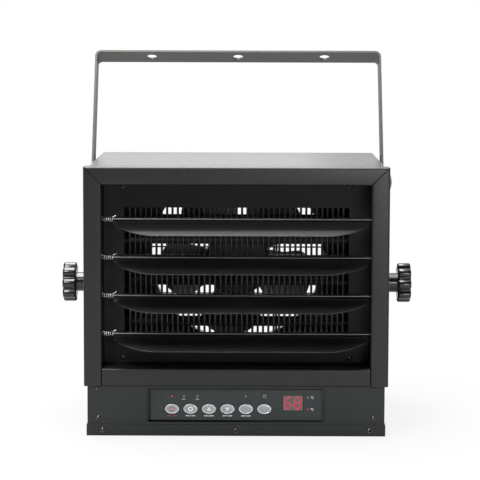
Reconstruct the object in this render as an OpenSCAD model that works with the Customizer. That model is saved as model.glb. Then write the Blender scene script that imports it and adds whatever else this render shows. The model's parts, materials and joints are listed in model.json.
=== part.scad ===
// Ceiling mounted fan heater: folded steel case, four turning louvers, tubular heating
// rows, an axial fan at the back and a U-shaped strap bracket held by two star knobs.
// The front looks along -Y, +X is to the viewer's right, and the flat base stands on Z = 0.

/* [Case] */
// Width of the steel case
case_w = 360; // [345:1:380]
// Height of the case from its flat base
case_h = 326.6; // [318:0.2:340]
// Depth from the louver frame's face to the back of the case
heater_d = 285; // [282:1:310]
// Thickness of the sheet steel
sheet = 1.2; // [0.8:0.1:1.6]
// Outside radius of the case's long bends
bend_r = 3; // [2:0.5:5]
// Height of the control compartment under the louver frame
control_h = 61; // [60:0.5:66]
// How far the control plate stands behind the louver frame's face
plate_setback = 4; // [3:0.5:6]
// Height of the bottom pan's folded edge
pan_edge_h = 13.8; // [10:0.1:15]
// Width of the case's inward flanges
flange_w = 12; // [10:0.5:14]
// Height of the shelf over the wiring space
shelf_z = 66; // [64:0.5:70]

/* [Louver frame] */
// How far the louver frame stands out past each side of the case
frame_overhang = 4; // [3:0.5:5]
// Depth of the louver frame's channels
frame_depth = 26.5; // [24:0.5:30]
// Width of the louver frame's faces
rail_w = 21.5; // [18:0.5:24]
// Width of the dark joint lines between the frame's pieces
joint_gap = 0.8; // [0.2:0.1:1.2]
// Outside radius of the channels' bends
channel_bend_r = 2.4; // [1.4:0.1:3]

/* [Louvers] */
// Distance from one louver rod to the next
louver_pitch = 46.5; // [44:0.5:50]
// Diameter of the louver rods
rod_d = 3; // [2.5:0.1:4]
// Distance of the rods behind the louver frame's face
rod_setback = 18; // [15:0.5:20]
// Thickness of the louver blades
blade_t = 0.9; // [0.7:0.1:1.4]
// Length of the blade from its rod to the bend
facet_l = 32; // [28:0.5:34]
// Length of the blade's front lip
lip_l = 14; // [10:0.5:15]
// Slope of the blade below level
facet_slope = 12.8; // [5:0.1:20]
// Slope of the front lip below level
lip_slope = 29.6; // [22:0.1:40]
// Length of the blade's rounded corner along the blade
corner_l = 58; // [40:1:70]
// Straight part of the blade's ends next to the rod
corner_start = 10; // [6:0.5:14]
// Room for the friction spring at the left end of a rod
spring_room = 14; // [13:0.5:18]
// Diameter of the friction spring's wire
spring_wire = 0.9; // [0.7:0.1:1.1]
// Mean diameter of the friction spring's coil
spring_d = 5.6; // [5.4:0.1:6.2]

/* [Air path] */
// How far the middle of the air path lies below the middle of the louver frame
air_drop = 1.3; // [0:0.1:3]
// Distance of the baffle behind the louver frame's face
baffle_setback = 52; // [46:1:58]
// Width of the baffle's mouth
mouth_w = 275; // [250:1:285]
// Height of the baffle's mouth
mouth_h = 162; // [150:1:175]
// Diameter of the guard's upright bars
bar_d = 2.9; // [2.4:0.1:3.4]
// Distance from one guard bar to the next
bar_pitch = 6.55; // [6:0.05:8]
// Diameter of the heating tubes
tube_d = 8.5; // [7:0.1:9.5]
// Distance from one heating row to the next
row_pitch = 25.6; // [22:0.1:26]
// Distance between the front and the back pass of a heating tube
pass_gap = 30; // [26:0.5:34]
// Distance of the heating rows behind the louver frame's face
element_setback = 90; // [86:1:96]

/* [Fan] */
// Diameter over the fan's blade tips
fan_d = 205; // [190:1:212]
// Distance of the fan's middle plane behind the louver frame's face
fan_setback = 230; // [226:1:232]
// Pitch of the fan's blades
blade_pitch = 24; // [18:1:26]
// Thickness of the fan's aluminium
fan_t = 1.5; // [1:0.1:2]
// Diameter of the fan's hub plate
hub_plate_d = 84; // [76:1:90]
// Diameter of the motor shaft
shaft_d = 8; // [6:0.5:10]
// Diameter of the motor
motor_d = 84; // [74:1:90]
// Length of the motor's case
motor_l = 40; // [34:1:46]
// Diameter of the air inlet in the rear panel
inlet_d = 228; // [224:1:236]
// Depth of the inlet's drawn collar
collar_depth = 20; // [14:1:22]
// Diameter of the rear guard's wires
wire_d = 2; // [1.6:0.1:2.6]
// Distance from one rear guard wire to the next
wire_pitch = 20.6; // [16:0.2:24]

/* [Bracket] */
// Width of the bracket's strap
strap_w = 30; // [26:1:36]
// Thickness of the bracket's strap
strap_t = 3; // [2.5:0.1:4]
// Distance from the pivot to the top of the bracket
bracket_l = 321.5; // [290:0.5:340]
// Outside radius of the bracket's two bends
strap_bend_r = 8; // [6:0.5:14]
// Tilt of the bracket from upright, towards the back
bracket_tilt = 27.6; // [0:0.1:45]
// Height of the bracket's pivot
pivot_z = 170; // [150:1:190]
// Distance of the bracket's pivot behind the louver frame's face
pivot_setback = 148.5; // [140:0.5:156]
// Thickness of the spacers between case and bracket
spacer_t = 6; // [5.5:0.1:8]
// Diameter of the three holes in the bracket's bar
mount_hole_d = 14; // [10:0.5:16]
// Distance from one hole of the bracket's bar to the next
mount_hole_pitch = 114.5; // [100:0.5:120]

/* [Knobs] */
// Diameter of the star knobs
knob_d = 50; // [40:1:56]
// Thickness of the star knobs' heads
knob_head_t = 17; // [12:0.5:20]
// Diameter of the star knobs' hubs
knob_hub_d = 24.5; // [20:0.5:28]
// Length of the star knobs' hubs
knob_hub_l = 12.5; // [8:0.5:16]
// Diameter of the knobs' threaded studs
stud_d = 8; // [6:0.5:10]

/* [Control panel] */
// Width of the panel's recess
pocket_w = 216; // [212:1:230]
// Height of the panel's recess
pocket_h = 41; // [38:0.5:42]
// Depth of the panel's recess
pocket_depth = 4; // [3:0.5:5]
// Width of an oval button
button_w = 17; // [14:0.5:19]
// Height of an oval button
button_h = 12; // [10:0.5:13]
// Distance from one button to the next
button_pitch = 22.4; // [20.5:0.1:23]
// Travel of the buttons
button_travel = 1; // [0.6:0.1:1.2]
// Width of the display
display_w = 25.2; // [22:0.1:27]
// Height of the display
display_h = 19; // [16:0.1:20]
// Diameter of the indicator lamps
lamp_d = 3; // [2.5:0.1:3.5]

/* [Hidden] */

$fn = 64;
cut_l = 10;          // length of a cut through thin walls
seat = 0.1;          // gap between pieces that rest on each other
slip = 0.3;          // gap round loose pieces
run_clear = 0.05;    // radial clearance of a turning shaft
weld = 0.5;          // how far welded bars sink into their carriers

front_y = -heater_d / 2;
back_y = heater_d / 2;
seam_y = front_y + frame_depth;
plate_y = front_y + plate_setback;
frame_w = case_w + 2 * frame_overhang;
frame_h = case_h - control_h;
open_w = frame_w - 2 * rail_w;
open_h = frame_h - 2 * rail_w;
open_z = control_h + frame_h / 2;
air_z = open_z - air_drop;
inner_w = case_w - 2 * sheet;

louver_count = 4;
rod_y = front_y + rod_setback;
rod_reach = 3;                       // how far the rods enter the stiles
end_gap = 1.8;                       // between a blade's right end and the stile
curl_lap = 0.02;                     // step between a blade's sheet and its curl
plug_h = 2.4;                        // dome over the hole in the right stile's side
plug_dome_r = 26;
plug_drop = 17.8;                    // from the top of the case
blade_w = open_w - spring_room - end_gap;
blade_x = (spring_room - end_gap) / 2;
spring_turns = 5;
spring_l = spring_room - 2 * slip;
tail_l = 4;
tail_rise = 1.8;

baffle_y = front_y + baffle_setback;
strip_t = 2;                         // guard's carrier strips
strip_h = 6;
guard_lap = 8;                       // guard bars behind the baffle, above and below its mouth
guard_y = baffle_y + sheet + seat + bar_d / 2;

baffle_screw_x = mouth_w / 2 + 1.5;
baffle_screw_z = open_h / 2 - 5.5;   // above and below the middle of the louver frame

rows_per_bank = 4;
element_y = front_y + element_setback;
end_plate_inset = 10;                // from the side of the mouth to an end plate
end_plate_front = 15;                // plate in front of the front pass
end_plate_back = 26;                 // plate behind the back pass, with room for the cut-out
end_plate_margin = 7;                // plate above the top row and below the bottom row
tube_reach = 17;                     // tubes past the left end plate
bend_reach = 12;                     // straight tube that ends before the right end plate
seal_l = 3;
seal_d = tube_d - 2;
pin_l = 12;
pin_d = 4;
end_plate_x = mouth_w / 2 + end_plate_inset;
end_plate_d = pass_gap + end_plate_front + end_plate_back;
tube_end_x = end_plate_x + tube_reach;
bend_start_x = end_plate_x - bend_reach;
end_plate_h = 2 * (rows_per_bank * row_pitch + end_plate_margin);

cut_out_d = 16;                      // over-temperature cut-out
cut_out_h = 7;
cut_out_ear_l = 24;
cut_out_ear_w = 10;
cut_out_tab_w = 6;
cut_out_tab_h = 8;
tab_t = 0.8;

fan_y = front_y + fan_setback;
fan_depth = 48;                      // room along the shaft that the blades are cut from
fan_camber_r = 170;
blade_count = 5;
blade_mid_a = 48;                    // angle of the first blade's middle line
blade_half_a = 29;                   // half the angle that a blade covers
blade_tip_l = 24.5;                  // rounded outer part of a blade
blade_heel_r = 60;                   // inside this radius the blade's back edge widens
blade_heel_a = 0.4;                  // by this many degrees a millimetre
hub_boss_d = 22;
hub_boss_l = 16;
hub_boss_back = 3;                   // hub boss behind the hub plate
motor_gap = 24;                      // from the fan's middle plane to the motor
motor_round = 4;
motor_nose_d = 28;
vent_d = 5;
vent_inset = 12;
motor_back_y = fan_y - motor_gap;
shaft_in = 22;                       // length of the shaft inside the motor
motor_strap_h = 12;
motor_strap_t = 2;
motor_foot_l = 18;
motor_disc_d = 40;
guard_plane_y = back_y - collar_depth - seat;
guard_ring_w = 6;
guard_upright_w = 3;
guard_upright_x = inlet_d / 4.4;
collar_bend_r = 6;

pivot_y = front_y + pivot_setback;
bracket_in = case_w / 2 + spacer_t;
bracket_out = bracket_in + strap_t;
washer_t = 1.8;
knob_x = bracket_out + washer_t + 2 * seat;
nut_af = 13;
nut_h = 6.5;

pocket_z = control_h - 3 - pocket_h / 2;
pocket_slope_x = 4.5;
pocket_slope_z = 1.6;
panel_t = 1.6;
panel_y = plate_y + pocket_depth;
button_count = 6;
button_z = pocket_z - 5.2;
button_proud = 1.3;
display_gap = 34.6;                  // from the last button to the middle of the display
row_l = (button_count - 1) * button_pitch + display_gap;
row_shift = 4.3;                     // the row of buttons and display stands left of the middle
button_x0 = -row_l / 2 - row_shift;
button_x5 = button_x0 + (button_count - 1) * button_pitch;
display_x = button_x0 + row_l;
display_z = pocket_z + 2.1;
mode_lamp_gap = 14.4;                // lamps to the right of the first button's
heat_lamp_gap = 30.9;
timer_lamp_gap = 22.6;               // lamp to the left of the last button
unit_lamp_gap = 18.3;                // lamps to the right of the display
unit_lamp_x = display_x + unit_lamp_gap;
lamp_z = pocket_z + 10.4;
lamps = [[button_x0, lamp_z], [button_x0 + mode_lamp_gap, lamp_z], [button_x0 + heat_lamp_gap, lamp_z],
    [button_x5 - timer_lamp_gap, lamp_z], [unit_lamp_x, lamp_z - 1.5], [unit_lamp_x, pocket_z - 5.6]];
receiver_x = button_x5 + 0.2;
receiver_s = 6.4;
board_y = panel_y + 9;
board_w = pocket_w - 14;
board_h = pocket_h - 5;
board_t = 1.6;
pillar_d = 6;
pillar_inset = 6;
key_s = 6;                           // key switches on the board
key_h = 2.2;
plunger_d = 3.4;
plunger_h = 3.1;
relay_x = [-52, -18, 16];
relay_size = [22, 18, 16];
relay_notch = 0.8;

screw_head_d = 7;
screw_head_h = 2;
screw_shank_d = 3.5;
plate_screw_x = case_w / 2 - 13;
plate_screw_z = [21, control_h - 2.9];
base_screw_z = pan_edge_h / 2 - 0.5;
base_screw_x = case_w / 2 - 18;
gland_x = case_w / 2 - 60;
gland_z = control_h / 2 + 3.5;
gland_bore_d = 12;
gland_body_d = 20;
gland_neck_d = 16;
gland_half_l = 12;                   // neck on both sides of the rear panel
gland_hex_h = 5;
gland_cap_l = 11;
gland_nut_h = 4;

block_w = 60;                        // terminal block
block_d = 26;
block_h = 20;
block_wall = 4;
block_setback = 80;                  // from the back of the case to its front
way_count = 3;
way_w = 15;
way_pitch = 18.5;
way_depth = 7;
way_floor = 9;

// ---- shared shapes ----

// A rectangle with round corners, made of true arcs.
module rounded_rect(w, h, r) {
    translate([r, 0]) square([w - 2 * r, h]);
    translate([0, r]) square([w, h - 2 * r]);
    for (x = [r, w - r], y = [r, h - r]) translate([x, y]) circle(r);
}

// Draws its children with their +Z axis towards the front, at depth y.
module facing_front(x, y, z) {
    translate([x, y, z]) rotate([90, 0, 0]) children();
}

// Draws its children with their +Z axis towards the back, at depth y.
module facing_back(x, y, z) {
    translate([x, y, z]) rotate([90, 0, 180]) children();
}

// Draws its children with their +Z axis pointing out of the side: -1 left, 1 right.
module facing_side(side, x, y, z) {
    translate([side * x, y, z]) rotate([0, side * 90, 0]) children();
}

module ellipse_2d(w, h) {
    polygon([for (i = [0 : 47]) [w / 2 * cos(i * 7.5), h / 2 * sin(i * 7.5)]]);
}

// A pan-head screw: the head stands on the plane Z = 0 and the shank goes below it.
module screw(shank_l) {
    rotate_extrude() {
        square([screw_shank_d / 2, screw_head_h]);
        translate([0, -shank_l]) square([screw_shank_d / 2, shank_l]);
        intersection() {
            translate([0, -screw_head_d * 0.62 + screw_head_h]) circle(screw_head_d * 0.62);
            square([screw_head_d / 2, screw_head_h]);
        }
    }
}

module screw_hole() {
    cylinder(h = 20, d = screw_shank_d + 2 * slip, center = true);
}

// ---- case ----

module plate_screw_places() {
    for (x = [-plate_screw_x, plate_screw_x], z = plate_screw_z) facing_front(x, plate_y, z) children();
}

module base_front_places() {
    for (x = [-base_screw_x, 0, base_screw_x]) facing_front(x, plate_y - sheet, base_screw_z) children();
}

module base_side_places() {
    for (side = [-1, 1], y = [front_y + 50, back_y - 30])
        facing_side(side, case_w / 2 + sheet, y, base_screw_z) children();
}

module rear_screw_places() {
    edge_x = case_w / 2 - flange_w / 2;
    for (x = [-edge_x, edge_x], z = [control_h / 2, air_z, case_h - 25]) facing_back(x, back_y, z) children();
    for (x = [-case_w / 4, case_w / 4]) facing_back(x, back_y, case_h - flange_w / 2) children();
}

module baffle_screw_places() {
    for (x = [-baffle_screw_x, baffle_screw_x], z = [-baffle_screw_z, baffle_screw_z])
        facing_front(x, baffle_y, open_z + z) children();
}

// The wrap over the top and both sides, as an outline seen from the front.
module wrap_2d() {
    difference() {
        translate([-case_w / 2, -bend_r * 4]) rounded_rect(case_w, case_h + bend_r * 4, bend_r);
        translate([-inner_w / 2, -bend_r * 5])
            rounded_rect(inner_w, case_h + bend_r * 5 - sheet, bend_r - sheet + 0.01);
        translate([-case_w, -case_h]) square([2 * case_w, case_h + sheet + seat]);
    }
}

module upper_flange_2d() {
    difference() {
        translate([-inner_w / 2 - 0.2, control_h]) square([inner_w + 0.4, case_h - control_h - sheet + 0.2]);
        translate([-case_w / 2 + flange_w, control_h - 1])
            square([case_w - 2 * flange_w, case_h - control_h - flange_w + 1]);
    }
}

// A panel that fills the inside of the wrap from the height `low` upwards.
module inside_panel_2d(low) {
    translate([-inner_w / 2 + slip, low])
        rounded_rect(inner_w - 2 * slip, case_h - sheet - slip - low, bend_r);
}

module case_shell() {
    color("#2c2d2d") difference() {
        union() {
            translate([0, back_y, 0]) rotate([90, 0, 0]) linear_extrude(back_y - seam_y) wrap_2d();
            // sides of the control compartment, under the louver frame
            for (side = [-1, 1]) {
                translate([side < 0 ? -case_w / 2 : case_w / 2 - sheet, plate_y + sheet + seat, sheet + seat])
                    cube([sheet, seam_y - plate_y, control_h - sheet - 2 * seat - slip]);
                translate([side < 0 ? -case_w / 2 + 0.1 : case_w / 2 - flange_w * 1.6 - 0.1,
                    plate_y + sheet + seat, pan_edge_h + 1])
                    cube([flange_w * 1.6, sheet, control_h - pan_edge_h - 1 - seat - slip]);
            }
            // front and back flanges
            translate([0, seam_y + sheet, 0]) rotate([90, 0, 0]) linear_extrude(sheet) upper_flange_2d();
            translate([0, back_y - sheet - seat, 0]) rotate([90, 0, 0]) linear_extrude(sheet)
                union() {
                    upper_flange_2d();
                    for (side = [-1, 1])
                        translate([side < 0 ? -inner_w / 2 - 0.2 : case_w / 2 - flange_w, sheet + 1])
                            square([flange_w - sheet + 0.2, control_h]);
                }
        }
        plate_screw_places() screw_hole();
        base_side_places() screw_hole();
        rear_screw_places() screw_hole();
        for (side = [-1, 1]) facing_side(side, case_w / 2, pivot_y, pivot_z)
            cylinder(h = cut_l, d = stud_d + 2 * slip, center = true);
    }
}

module rear_panel() {
    inlet_r = inlet_d / 2;
    color("#2a2b2b") difference() {
        union() {
            facing_front(0, back_y, 0) linear_extrude(sheet) inside_panel_2d(sheet + seat);
            // drawn collar round the air inlet
            facing_back(0, back_y, air_z) rotate_extrude() {
                translate([inlet_r, -collar_depth]) square([sheet, collar_depth - collar_bend_r]);
                intersection() {
                    translate([inlet_r + collar_bend_r, -collar_bend_r]) difference() {
                        circle(collar_bend_r);
                        circle(collar_bend_r - sheet);
                    }
                    translate([inlet_r, -collar_bend_r]) square(collar_bend_r);
                }
            }
        }
        facing_back(0, back_y, air_z) translate([0, 0, -collar_bend_r])
            rotate_extrude() difference() {
                square([inlet_r + collar_bend_r, collar_bend_r + 1]);
                translate([inlet_r + collar_bend_r, 0]) circle(collar_bend_r);
            }
        rear_screw_places() screw_hole();
        facing_back(gland_x, back_y, gland_z)
            cylinder(h = cut_l, d = gland_neck_d + 2 * slip, center = true);
    }
}

module bottom_pan() {
    pan_w = case_w + 2 * sheet;
    pan_front = plate_y - sheet;
    color("#2f3130") difference() {
        union() {
            translate([-pan_w / 2, pan_front, 0]) cube([pan_w, back_y - pan_front, sheet]);
            translate([-pan_w / 2, pan_front, 0]) cube([pan_w, sheet - seat / 2, pan_edge_h]);
            for (side = [-1, 1])
                translate([side < 0 ? -pan_w / 2 : pan_w / 2 - sheet + seat / 2, pan_front, 0])
                    cube([sheet - seat / 2, back_y - pan_front, pan_edge_h]);
        }
        base_front_places() screw_hole();
        base_side_places() screw_hole();
        // the folded corners are cut back a little
        for (side = [-1, 1]) translate([side * pan_w / 2, pan_front, 0]) rotate([0, 0, 45])
            cube([1.2, 1.2, 3 * pan_edge_h], center = true);
    }
}

module pocket_2d(grow) {
    translate([-pocket_w / 2 - grow, pocket_z - pocket_h / 2 - grow])
        rounded_rect(pocket_w + 2 * grow, pocket_h + 2 * grow, 3 + grow);
}

module control_plate() {
    color("#333534") difference() {
        translate([-case_w / 2, plate_y, sheet + seat])
            cube([case_w, sheet, control_h - sheet - seat - slip]);
        facing_front(0, plate_y + sheet + 1, 0) linear_extrude(sheet + 2) pocket_2d(0);
        plate_screw_places() screw_hole();
        base_front_places() screw_hole();
    }
}

// ---- control panel ----

module oval_places() {
    for (i = [0 : button_count - 1])
        facing_front(button_x0 + i * button_pitch, panel_y, button_z) children();
}

module control_bezel() {
    flange_y = plate_y + sheet + seat;
    back = panel_y + panel_t;
    rim_x = 5;
    low = pocket_z - pocket_h / 2 - 4;
    high = control_h - 2 * slip;
    color("#303332") difference() {
        union() {
            translate([-pocket_w / 2 - rim_x, flange_y, low])
                cube([pocket_w + 2 * rim_x, back - flange_y, high - low]);
            // pillars that carry the control board
            for (x = [-1, 1], z = [-1, 1])
                facing_front(x * (board_w / 2 - pillar_inset), board_y - seat,
                    pocket_z + z * (board_h / 2 - pillar_inset + 1))
                    cylinder(h = board_y - seat - back + weld, d = pillar_d);
        }
        // sloping walls of the recess
        facing_front(0, panel_y, 0) hull() {
            translate([0, pocket_z, 0])
                cube([pocket_w - 2 * pocket_slope_x, pocket_h - 2 * pocket_slope_z, 0.01], center = true);
            translate([0, pocket_z, pocket_depth]) cube([pocket_w, pocket_h, 0.01], center = true);
        }
        oval_places() translate([0, 0, -cut_l / 2]) linear_extrude(cut_l)
            ellipse_2d(button_w + 2 * slip, button_h + 2 * slip);
        for (p = lamps) facing_front(p[0], panel_y, p[1])
            cylinder(h = cut_l, d = lamp_d + 2 * seat, center = true);
        facing_front(receiver_x, panel_y, lamp_z)
            cube([receiver_s + 2 * seat, receiver_s + 2 * seat, cut_l], center = true);
        facing_front(display_x, panel_y, display_z)
            cube([display_w + 2 * seat, display_h + 2 * seat, cut_l], center = true);
    }
}

module indicator_lamps() {
    color("#8c3438") for (p = lamps) facing_front(p[0], panel_y, p[1]) {
        translate([0, 0, -board_y + panel_y + seat]) cylinder(h = board_y - panel_y - seat, d = lamp_d);
        intersection() {
            translate([0, 0, -lamp_d / 2]) sphere(d = lamp_d * 1.42);
            cylinder(h = 2, d = lamp_d);
        }
    }
}

module display_module() {
    depth = board_y - panel_y - seat;
    color("#4a4440") facing_front(display_x, panel_y, display_z) translate([0, 0, -depth / 2 - 0.2])
        cube([display_w, display_h, depth - 0.4], center = true);
}

module receiver_window() {
    color("#3b2b30") facing_front(receiver_x, panel_y, lamp_z)
        translate([-receiver_s / 2, -receiver_s / 2, panel_y - board_y + seat]) {
            cube([receiver_s, receiver_s, board_y - panel_y - seat - 0.2]);
            translate([receiver_s / 2, receiver_s / 2, board_y - panel_y - seat - 0.2])
                cylinder(h = 0.2, d = receiver_s - 1);
        }
}

module button_solid(index) {
    stem_end = board_y - panel_y - 3.2 - button_travel;
    color("#b9bcbd") facing_front(button_x0 + (index - 1) * button_pitch, panel_y, button_z) {
        translate([0, 0, -panel_t - slip]) linear_extrude(panel_t + slip + button_proud - 0.4)
            ellipse_2d(button_w, button_h);
        linear_extrude(button_proud) ellipse_2d(button_w - 1.2, button_h - 1.2);
        translate([0, 0, -panel_t - slip - 1]) linear_extrude(1.01) ellipse_2d(button_w + 2, button_h + 2);
        translate([0, 0, -stem_end]) cylinder(h = stem_end - panel_t, d = 4);
    }
}

module button_1() { button_solid(1); }
module button_2() { button_solid(2); }
module button_3() { button_solid(3); }
module button_4() { button_solid(4); }
module button_5() { button_solid(5); }
module button_6() { button_solid(6); }

module control_board() {
    color("#1f5a3c") {
        translate([-board_w / 2, board_y, pocket_z - board_h / 2]) cube([board_w, board_t, board_h]);
        // key switches under the buttons
        for (i = [0 : button_count - 1])
            facing_front(button_x0 + i * button_pitch, board_y + 0.01, button_z) {
                translate([-key_s / 2, -key_s / 2, 0]) cube([key_s, key_s, key_h]);
                cylinder(h = plunger_h, d = plunger_d);
            }
    }
}

module power_relays() {
    color("#23406b") for (x = relay_x) translate([x, board_y + board_t + seat, pocket_z - 11])
        difference() {
            cube(relay_size);
            translate([-1, relay_size[1] - relay_notch, relay_size[2] - relay_notch])
                cube([relay_size[0] + 2, 2 * relay_notch, 2 * relay_notch]);
        }
}

module terminal_block() {
    color("#d8d3c4") translate([gland_x - block_w * 2 / 3, back_y - block_setback, sheet + seat]) difference() {
        cube([block_w, block_d, block_h]);
        for (i = [0 : way_count - 1], y = [-1, block_d - way_depth])
            translate([block_wall + i * way_pitch, y, way_floor]) cube([way_w, way_depth + 1, block_h]);
    }
}

module partition_shelf() {
    color("#8f9294") translate([-inner_w / 2 + seat, seam_y + sheet + seat, shelf_z]) {
        cube([inner_w - 2 * seat, back_y - seam_y - 3 * sheet - 4 * seat, sheet]);
        for (x = [0, inner_w - 2 * seat - sheet])
            translate([x, 0, -10]) cube([sheet, pivot_y - seam_y, 10.01]);
    }
}

// ---- louver frame ----

// Cross-section of a lipped channel: face on X at Y = 0, outer edge at X = 0, depth along Y.
module channel_2d(lipped) {
    lip_w = frame_overhang + sheet + 3;
    difference() {
        rounded_rect(rail_w, frame_depth, channel_bend_r);
        translate([sheet, sheet]) square([rail_w - 2 * sheet, frame_depth - 2 * sheet]);
        translate([lipped ? lip_w : sheet, sheet])
            square([rail_w - sheet - (lipped ? lip_w : sheet), frame_depth]);
        translate([rail_w - sheet, frame_depth - channel_bend_r]) square([sheet - 0.001, channel_bend_r + 0.4]);
    }
    translate([rail_w - sheet, frame_depth - channel_bend_r - 0.1]) square([sheet, channel_bend_r + 0.1]);
}

// Outline of the whole frame's mitred pieces, seen from the front.
module top_rail_2d() {
    polygon([[-frame_w / 2 + joint_gap, case_h], [frame_w / 2 - joint_gap, case_h],
        [open_w / 2 - joint_gap, case_h - rail_w], [-open_w / 2 + joint_gap, case_h - rail_w]]);
}

module stile_2d() {
    polygon([[-frame_w / 2, control_h], [-open_w / 2, control_h], [-open_w / 2, case_h - rail_w],
        [-frame_w / 2, case_h]]);
}

module frame_top_rail() {
    color("#3a3b3a") intersection() {
        translate([-frame_w / 2, front_y, case_h]) rotate([90, 0, 90])
            linear_extrude(frame_w) rotate(-90) channel_2d(false);
        facing_front(0, seam_y + 1, 0) linear_extrude(frame_depth + 2) top_rail_2d();
    }
}

module left_stile_solid() {
    difference() {
        intersection() {
            translate([-frame_w / 2, front_y, control_h]) linear_extrude(frame_h) channel_2d(true);
            facing_front(0, seam_y + 1, 0) linear_extrude(frame_depth + 2) stile_2d();
        }
        for (i = [1 : louver_count]) facing_side(-1, open_w / 2, rod_y, louver_z(i))
            cylinder(h = 8, d = rod_d + 2 * run_clear, center = true);
    }
}

module frame_left_stile() { color("#333433") left_stile_solid(); }

module frame_right_stile() { color("#454645") mirror([1, 0, 0]) left_stile_solid(); }

module frame_bottom_rail() {
    color("#3b3d3c") translate([-open_w / 2 + joint_gap / 2, front_y, control_h]) rotate([90, 0, 90])
        linear_extrude(open_w - joint_gap) mirror([1, 0]) rotate(90) channel_2d(false);
}

module side_plug() {
    color("#222323") facing_side(1, frame_w / 2 + 0.05, front_y + frame_depth / 2, case_h - plug_drop)
        rotate_extrude() intersection() {
            translate([0, plug_h - plug_dome_r]) circle(plug_dome_r, $fn = 400);
            square([plug_dome_r, plug_h]);
        }
}

// ---- louvers ----

function louver_z(i) = air_z + ((louver_count + 1) / 2 - i) * louver_pitch;

// Blade's cross-section: -X runs to the front, Y up, and the rod's centre is at the origin.
// The sheet is curled round the rod from below, over the back to the top.
module blade_profile_2d() {
    bore_r = rod_d / 2 + run_clear;
    top = -bore_r - curl_lap;
    bottom = curl_lap - bore_r - blade_t;
    turn = lip_slope - facet_slope;
    lip_down = (top - bottom) * [sin(turn), -cos(turn)];
    tip = [-facet_l, top] - lip_l * [cos(turn), sin(turn)];
    rotate(facet_slope) {
        polygon([[blade_t / 4, top], [-facet_l, top], tip, tip + lip_down,
            [(top - bottom) * tan(turn / 2) - facet_l, bottom], [blade_t / 4, bottom]]);
        difference() {
            circle(bore_r + blade_t);
            circle(bore_r);
            polygon([[0, 0], [0, -3 * bore_r], [-3 * bore_r, -3 * bore_r], [-3 * bore_r, 3 * bore_r],
                [-bore_r, 3 * bore_r]]);
        }
    }
}

// Blade's outline in its own plane: X along the rod, Y to the front.
module blade_outline_2d() {
    reach = facet_l + lip_l;
    deep = reach - corner_start;
    arc = [for (i = [0 : 12]) [sin(i * 7.5), cos(i * 7.5)]];
    polygon(concat(
        [[-blade_w / 2, -4], [-blade_w / 2, corner_start]],
        [for (p = arc) [-blade_w / 2 + corner_l * (1 - p[1]), corner_start + deep * p[0]]],
        [for (i = [12 : -1 : 0]) [blade_w / 2 - corner_l * (1 - arc[i][1]), corner_start + deep * arc[i][0]]],
        [[blade_w / 2, corner_start], [blade_w / 2, -4]]));
}

module louver_blade(i) {
    color("#2a2c2b") intersection() {
        translate([blade_x - blade_w / 2, rod_y, louver_z(i)]) rotate([90, 0, 90])
            linear_extrude(blade_w) blade_profile_2d();
        translate([blade_x, rod_y, louver_z(i)]) rotate([facet_slope + 3, 0, 0]) mirror([0, 1, 0])
            translate([0, 0, -40]) linear_extrude(60) blade_outline_2d();
    }
}

module louver_rod(i) {
    color("#3c3e3d") facing_side(1, -open_w / 2 - rod_reach, rod_y, louver_z(i))
        cylinder(h = open_w + 2 * rod_reach, d = rod_d);
}

// Centre line of the spring: a helix along X, then a short straight tail.
spring_steps = spring_turns * 8;
spring_pitch = (spring_l - spring_wire) / spring_turns;
spring_x0 = -open_w / 2 + slip + spring_wire / 2;
function coil_point(k) = [spring_x0 + spring_pitch * k / 8,
    -spring_d / 2 * sin(k * 45), spring_d / 2 * cos(k * 45)];
function tail_point(s) = coil_point(spring_steps) + [s * tail_l, 0, s * tail_rise];
spring_path = concat([for (k = [0 : spring_steps]) coil_point(k)], [tail_point(0.5), tail_point(1)]);
function unit(v) = v / norm(v);
function path_dir(k) = unit(spring_path[min(k + 1, len(spring_path) - 1)] - spring_path[max(k - 1, 0)]);
function ring(k) =
    let (t = path_dir(k), out = unit([0, spring_path[k][1], spring_path[k][2]]), b = unit(cross(t, out)),
        n = cross(b, t))
    [for (j = [0 : 5]) spring_path[k] + spring_wire / 2 * (cos(j * 60) * n + sin(j * 60) * b)];

spring_gaps = [for (k = [0 : spring_steps], m = [k + 6 : spring_steps])
    if (m <= spring_steps) norm(spring_path[k] - spring_path[m]) - spring_wire];
echo(str("least gap of a louver spring to itself, in mm: ", min(spring_gaps)));

module louver_spring(i) {
    n = len(spring_path);
    points = [for (k = [0 : n - 1]) each ring(k)];
    sides = [for (k = [0 : n - 2], j = [0 : 5]) let (a = 6 * k + j, b = 6 * k + (j + 1) % 6)
        each [[a, b, b + 6], [a, b + 6, a + 6]]];
    caps = [for (j = [1 : 4]) each [[0, j + 1, j], [6 * n - 6, 6 * n - 6 + j, 6 * n - 5 + j]]];
    color("#c9cccc") translate([0, rod_y, louver_z(i)])
        polyhedron(points = points, faces = concat(sides, caps));
}

module louver_blade_1() { louver_blade(1); }
module louver_blade_2() { louver_blade(2); }
module louver_blade_3() { louver_blade(3); }
module louver_blade_4() { louver_blade(4); }
module louver_rod_1() { louver_rod(1); }
module louver_rod_2() { louver_rod(2); }
module louver_rod_3() { louver_rod(3); }
module louver_rod_4() { louver_rod(4); }
module louver_spring_1() { louver_spring(1); }
module louver_spring_2() { louver_spring(2); }
module louver_spring_3() { louver_spring(3); }
module louver_spring_4() { louver_spring(4); }

// ---- air path ----

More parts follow.
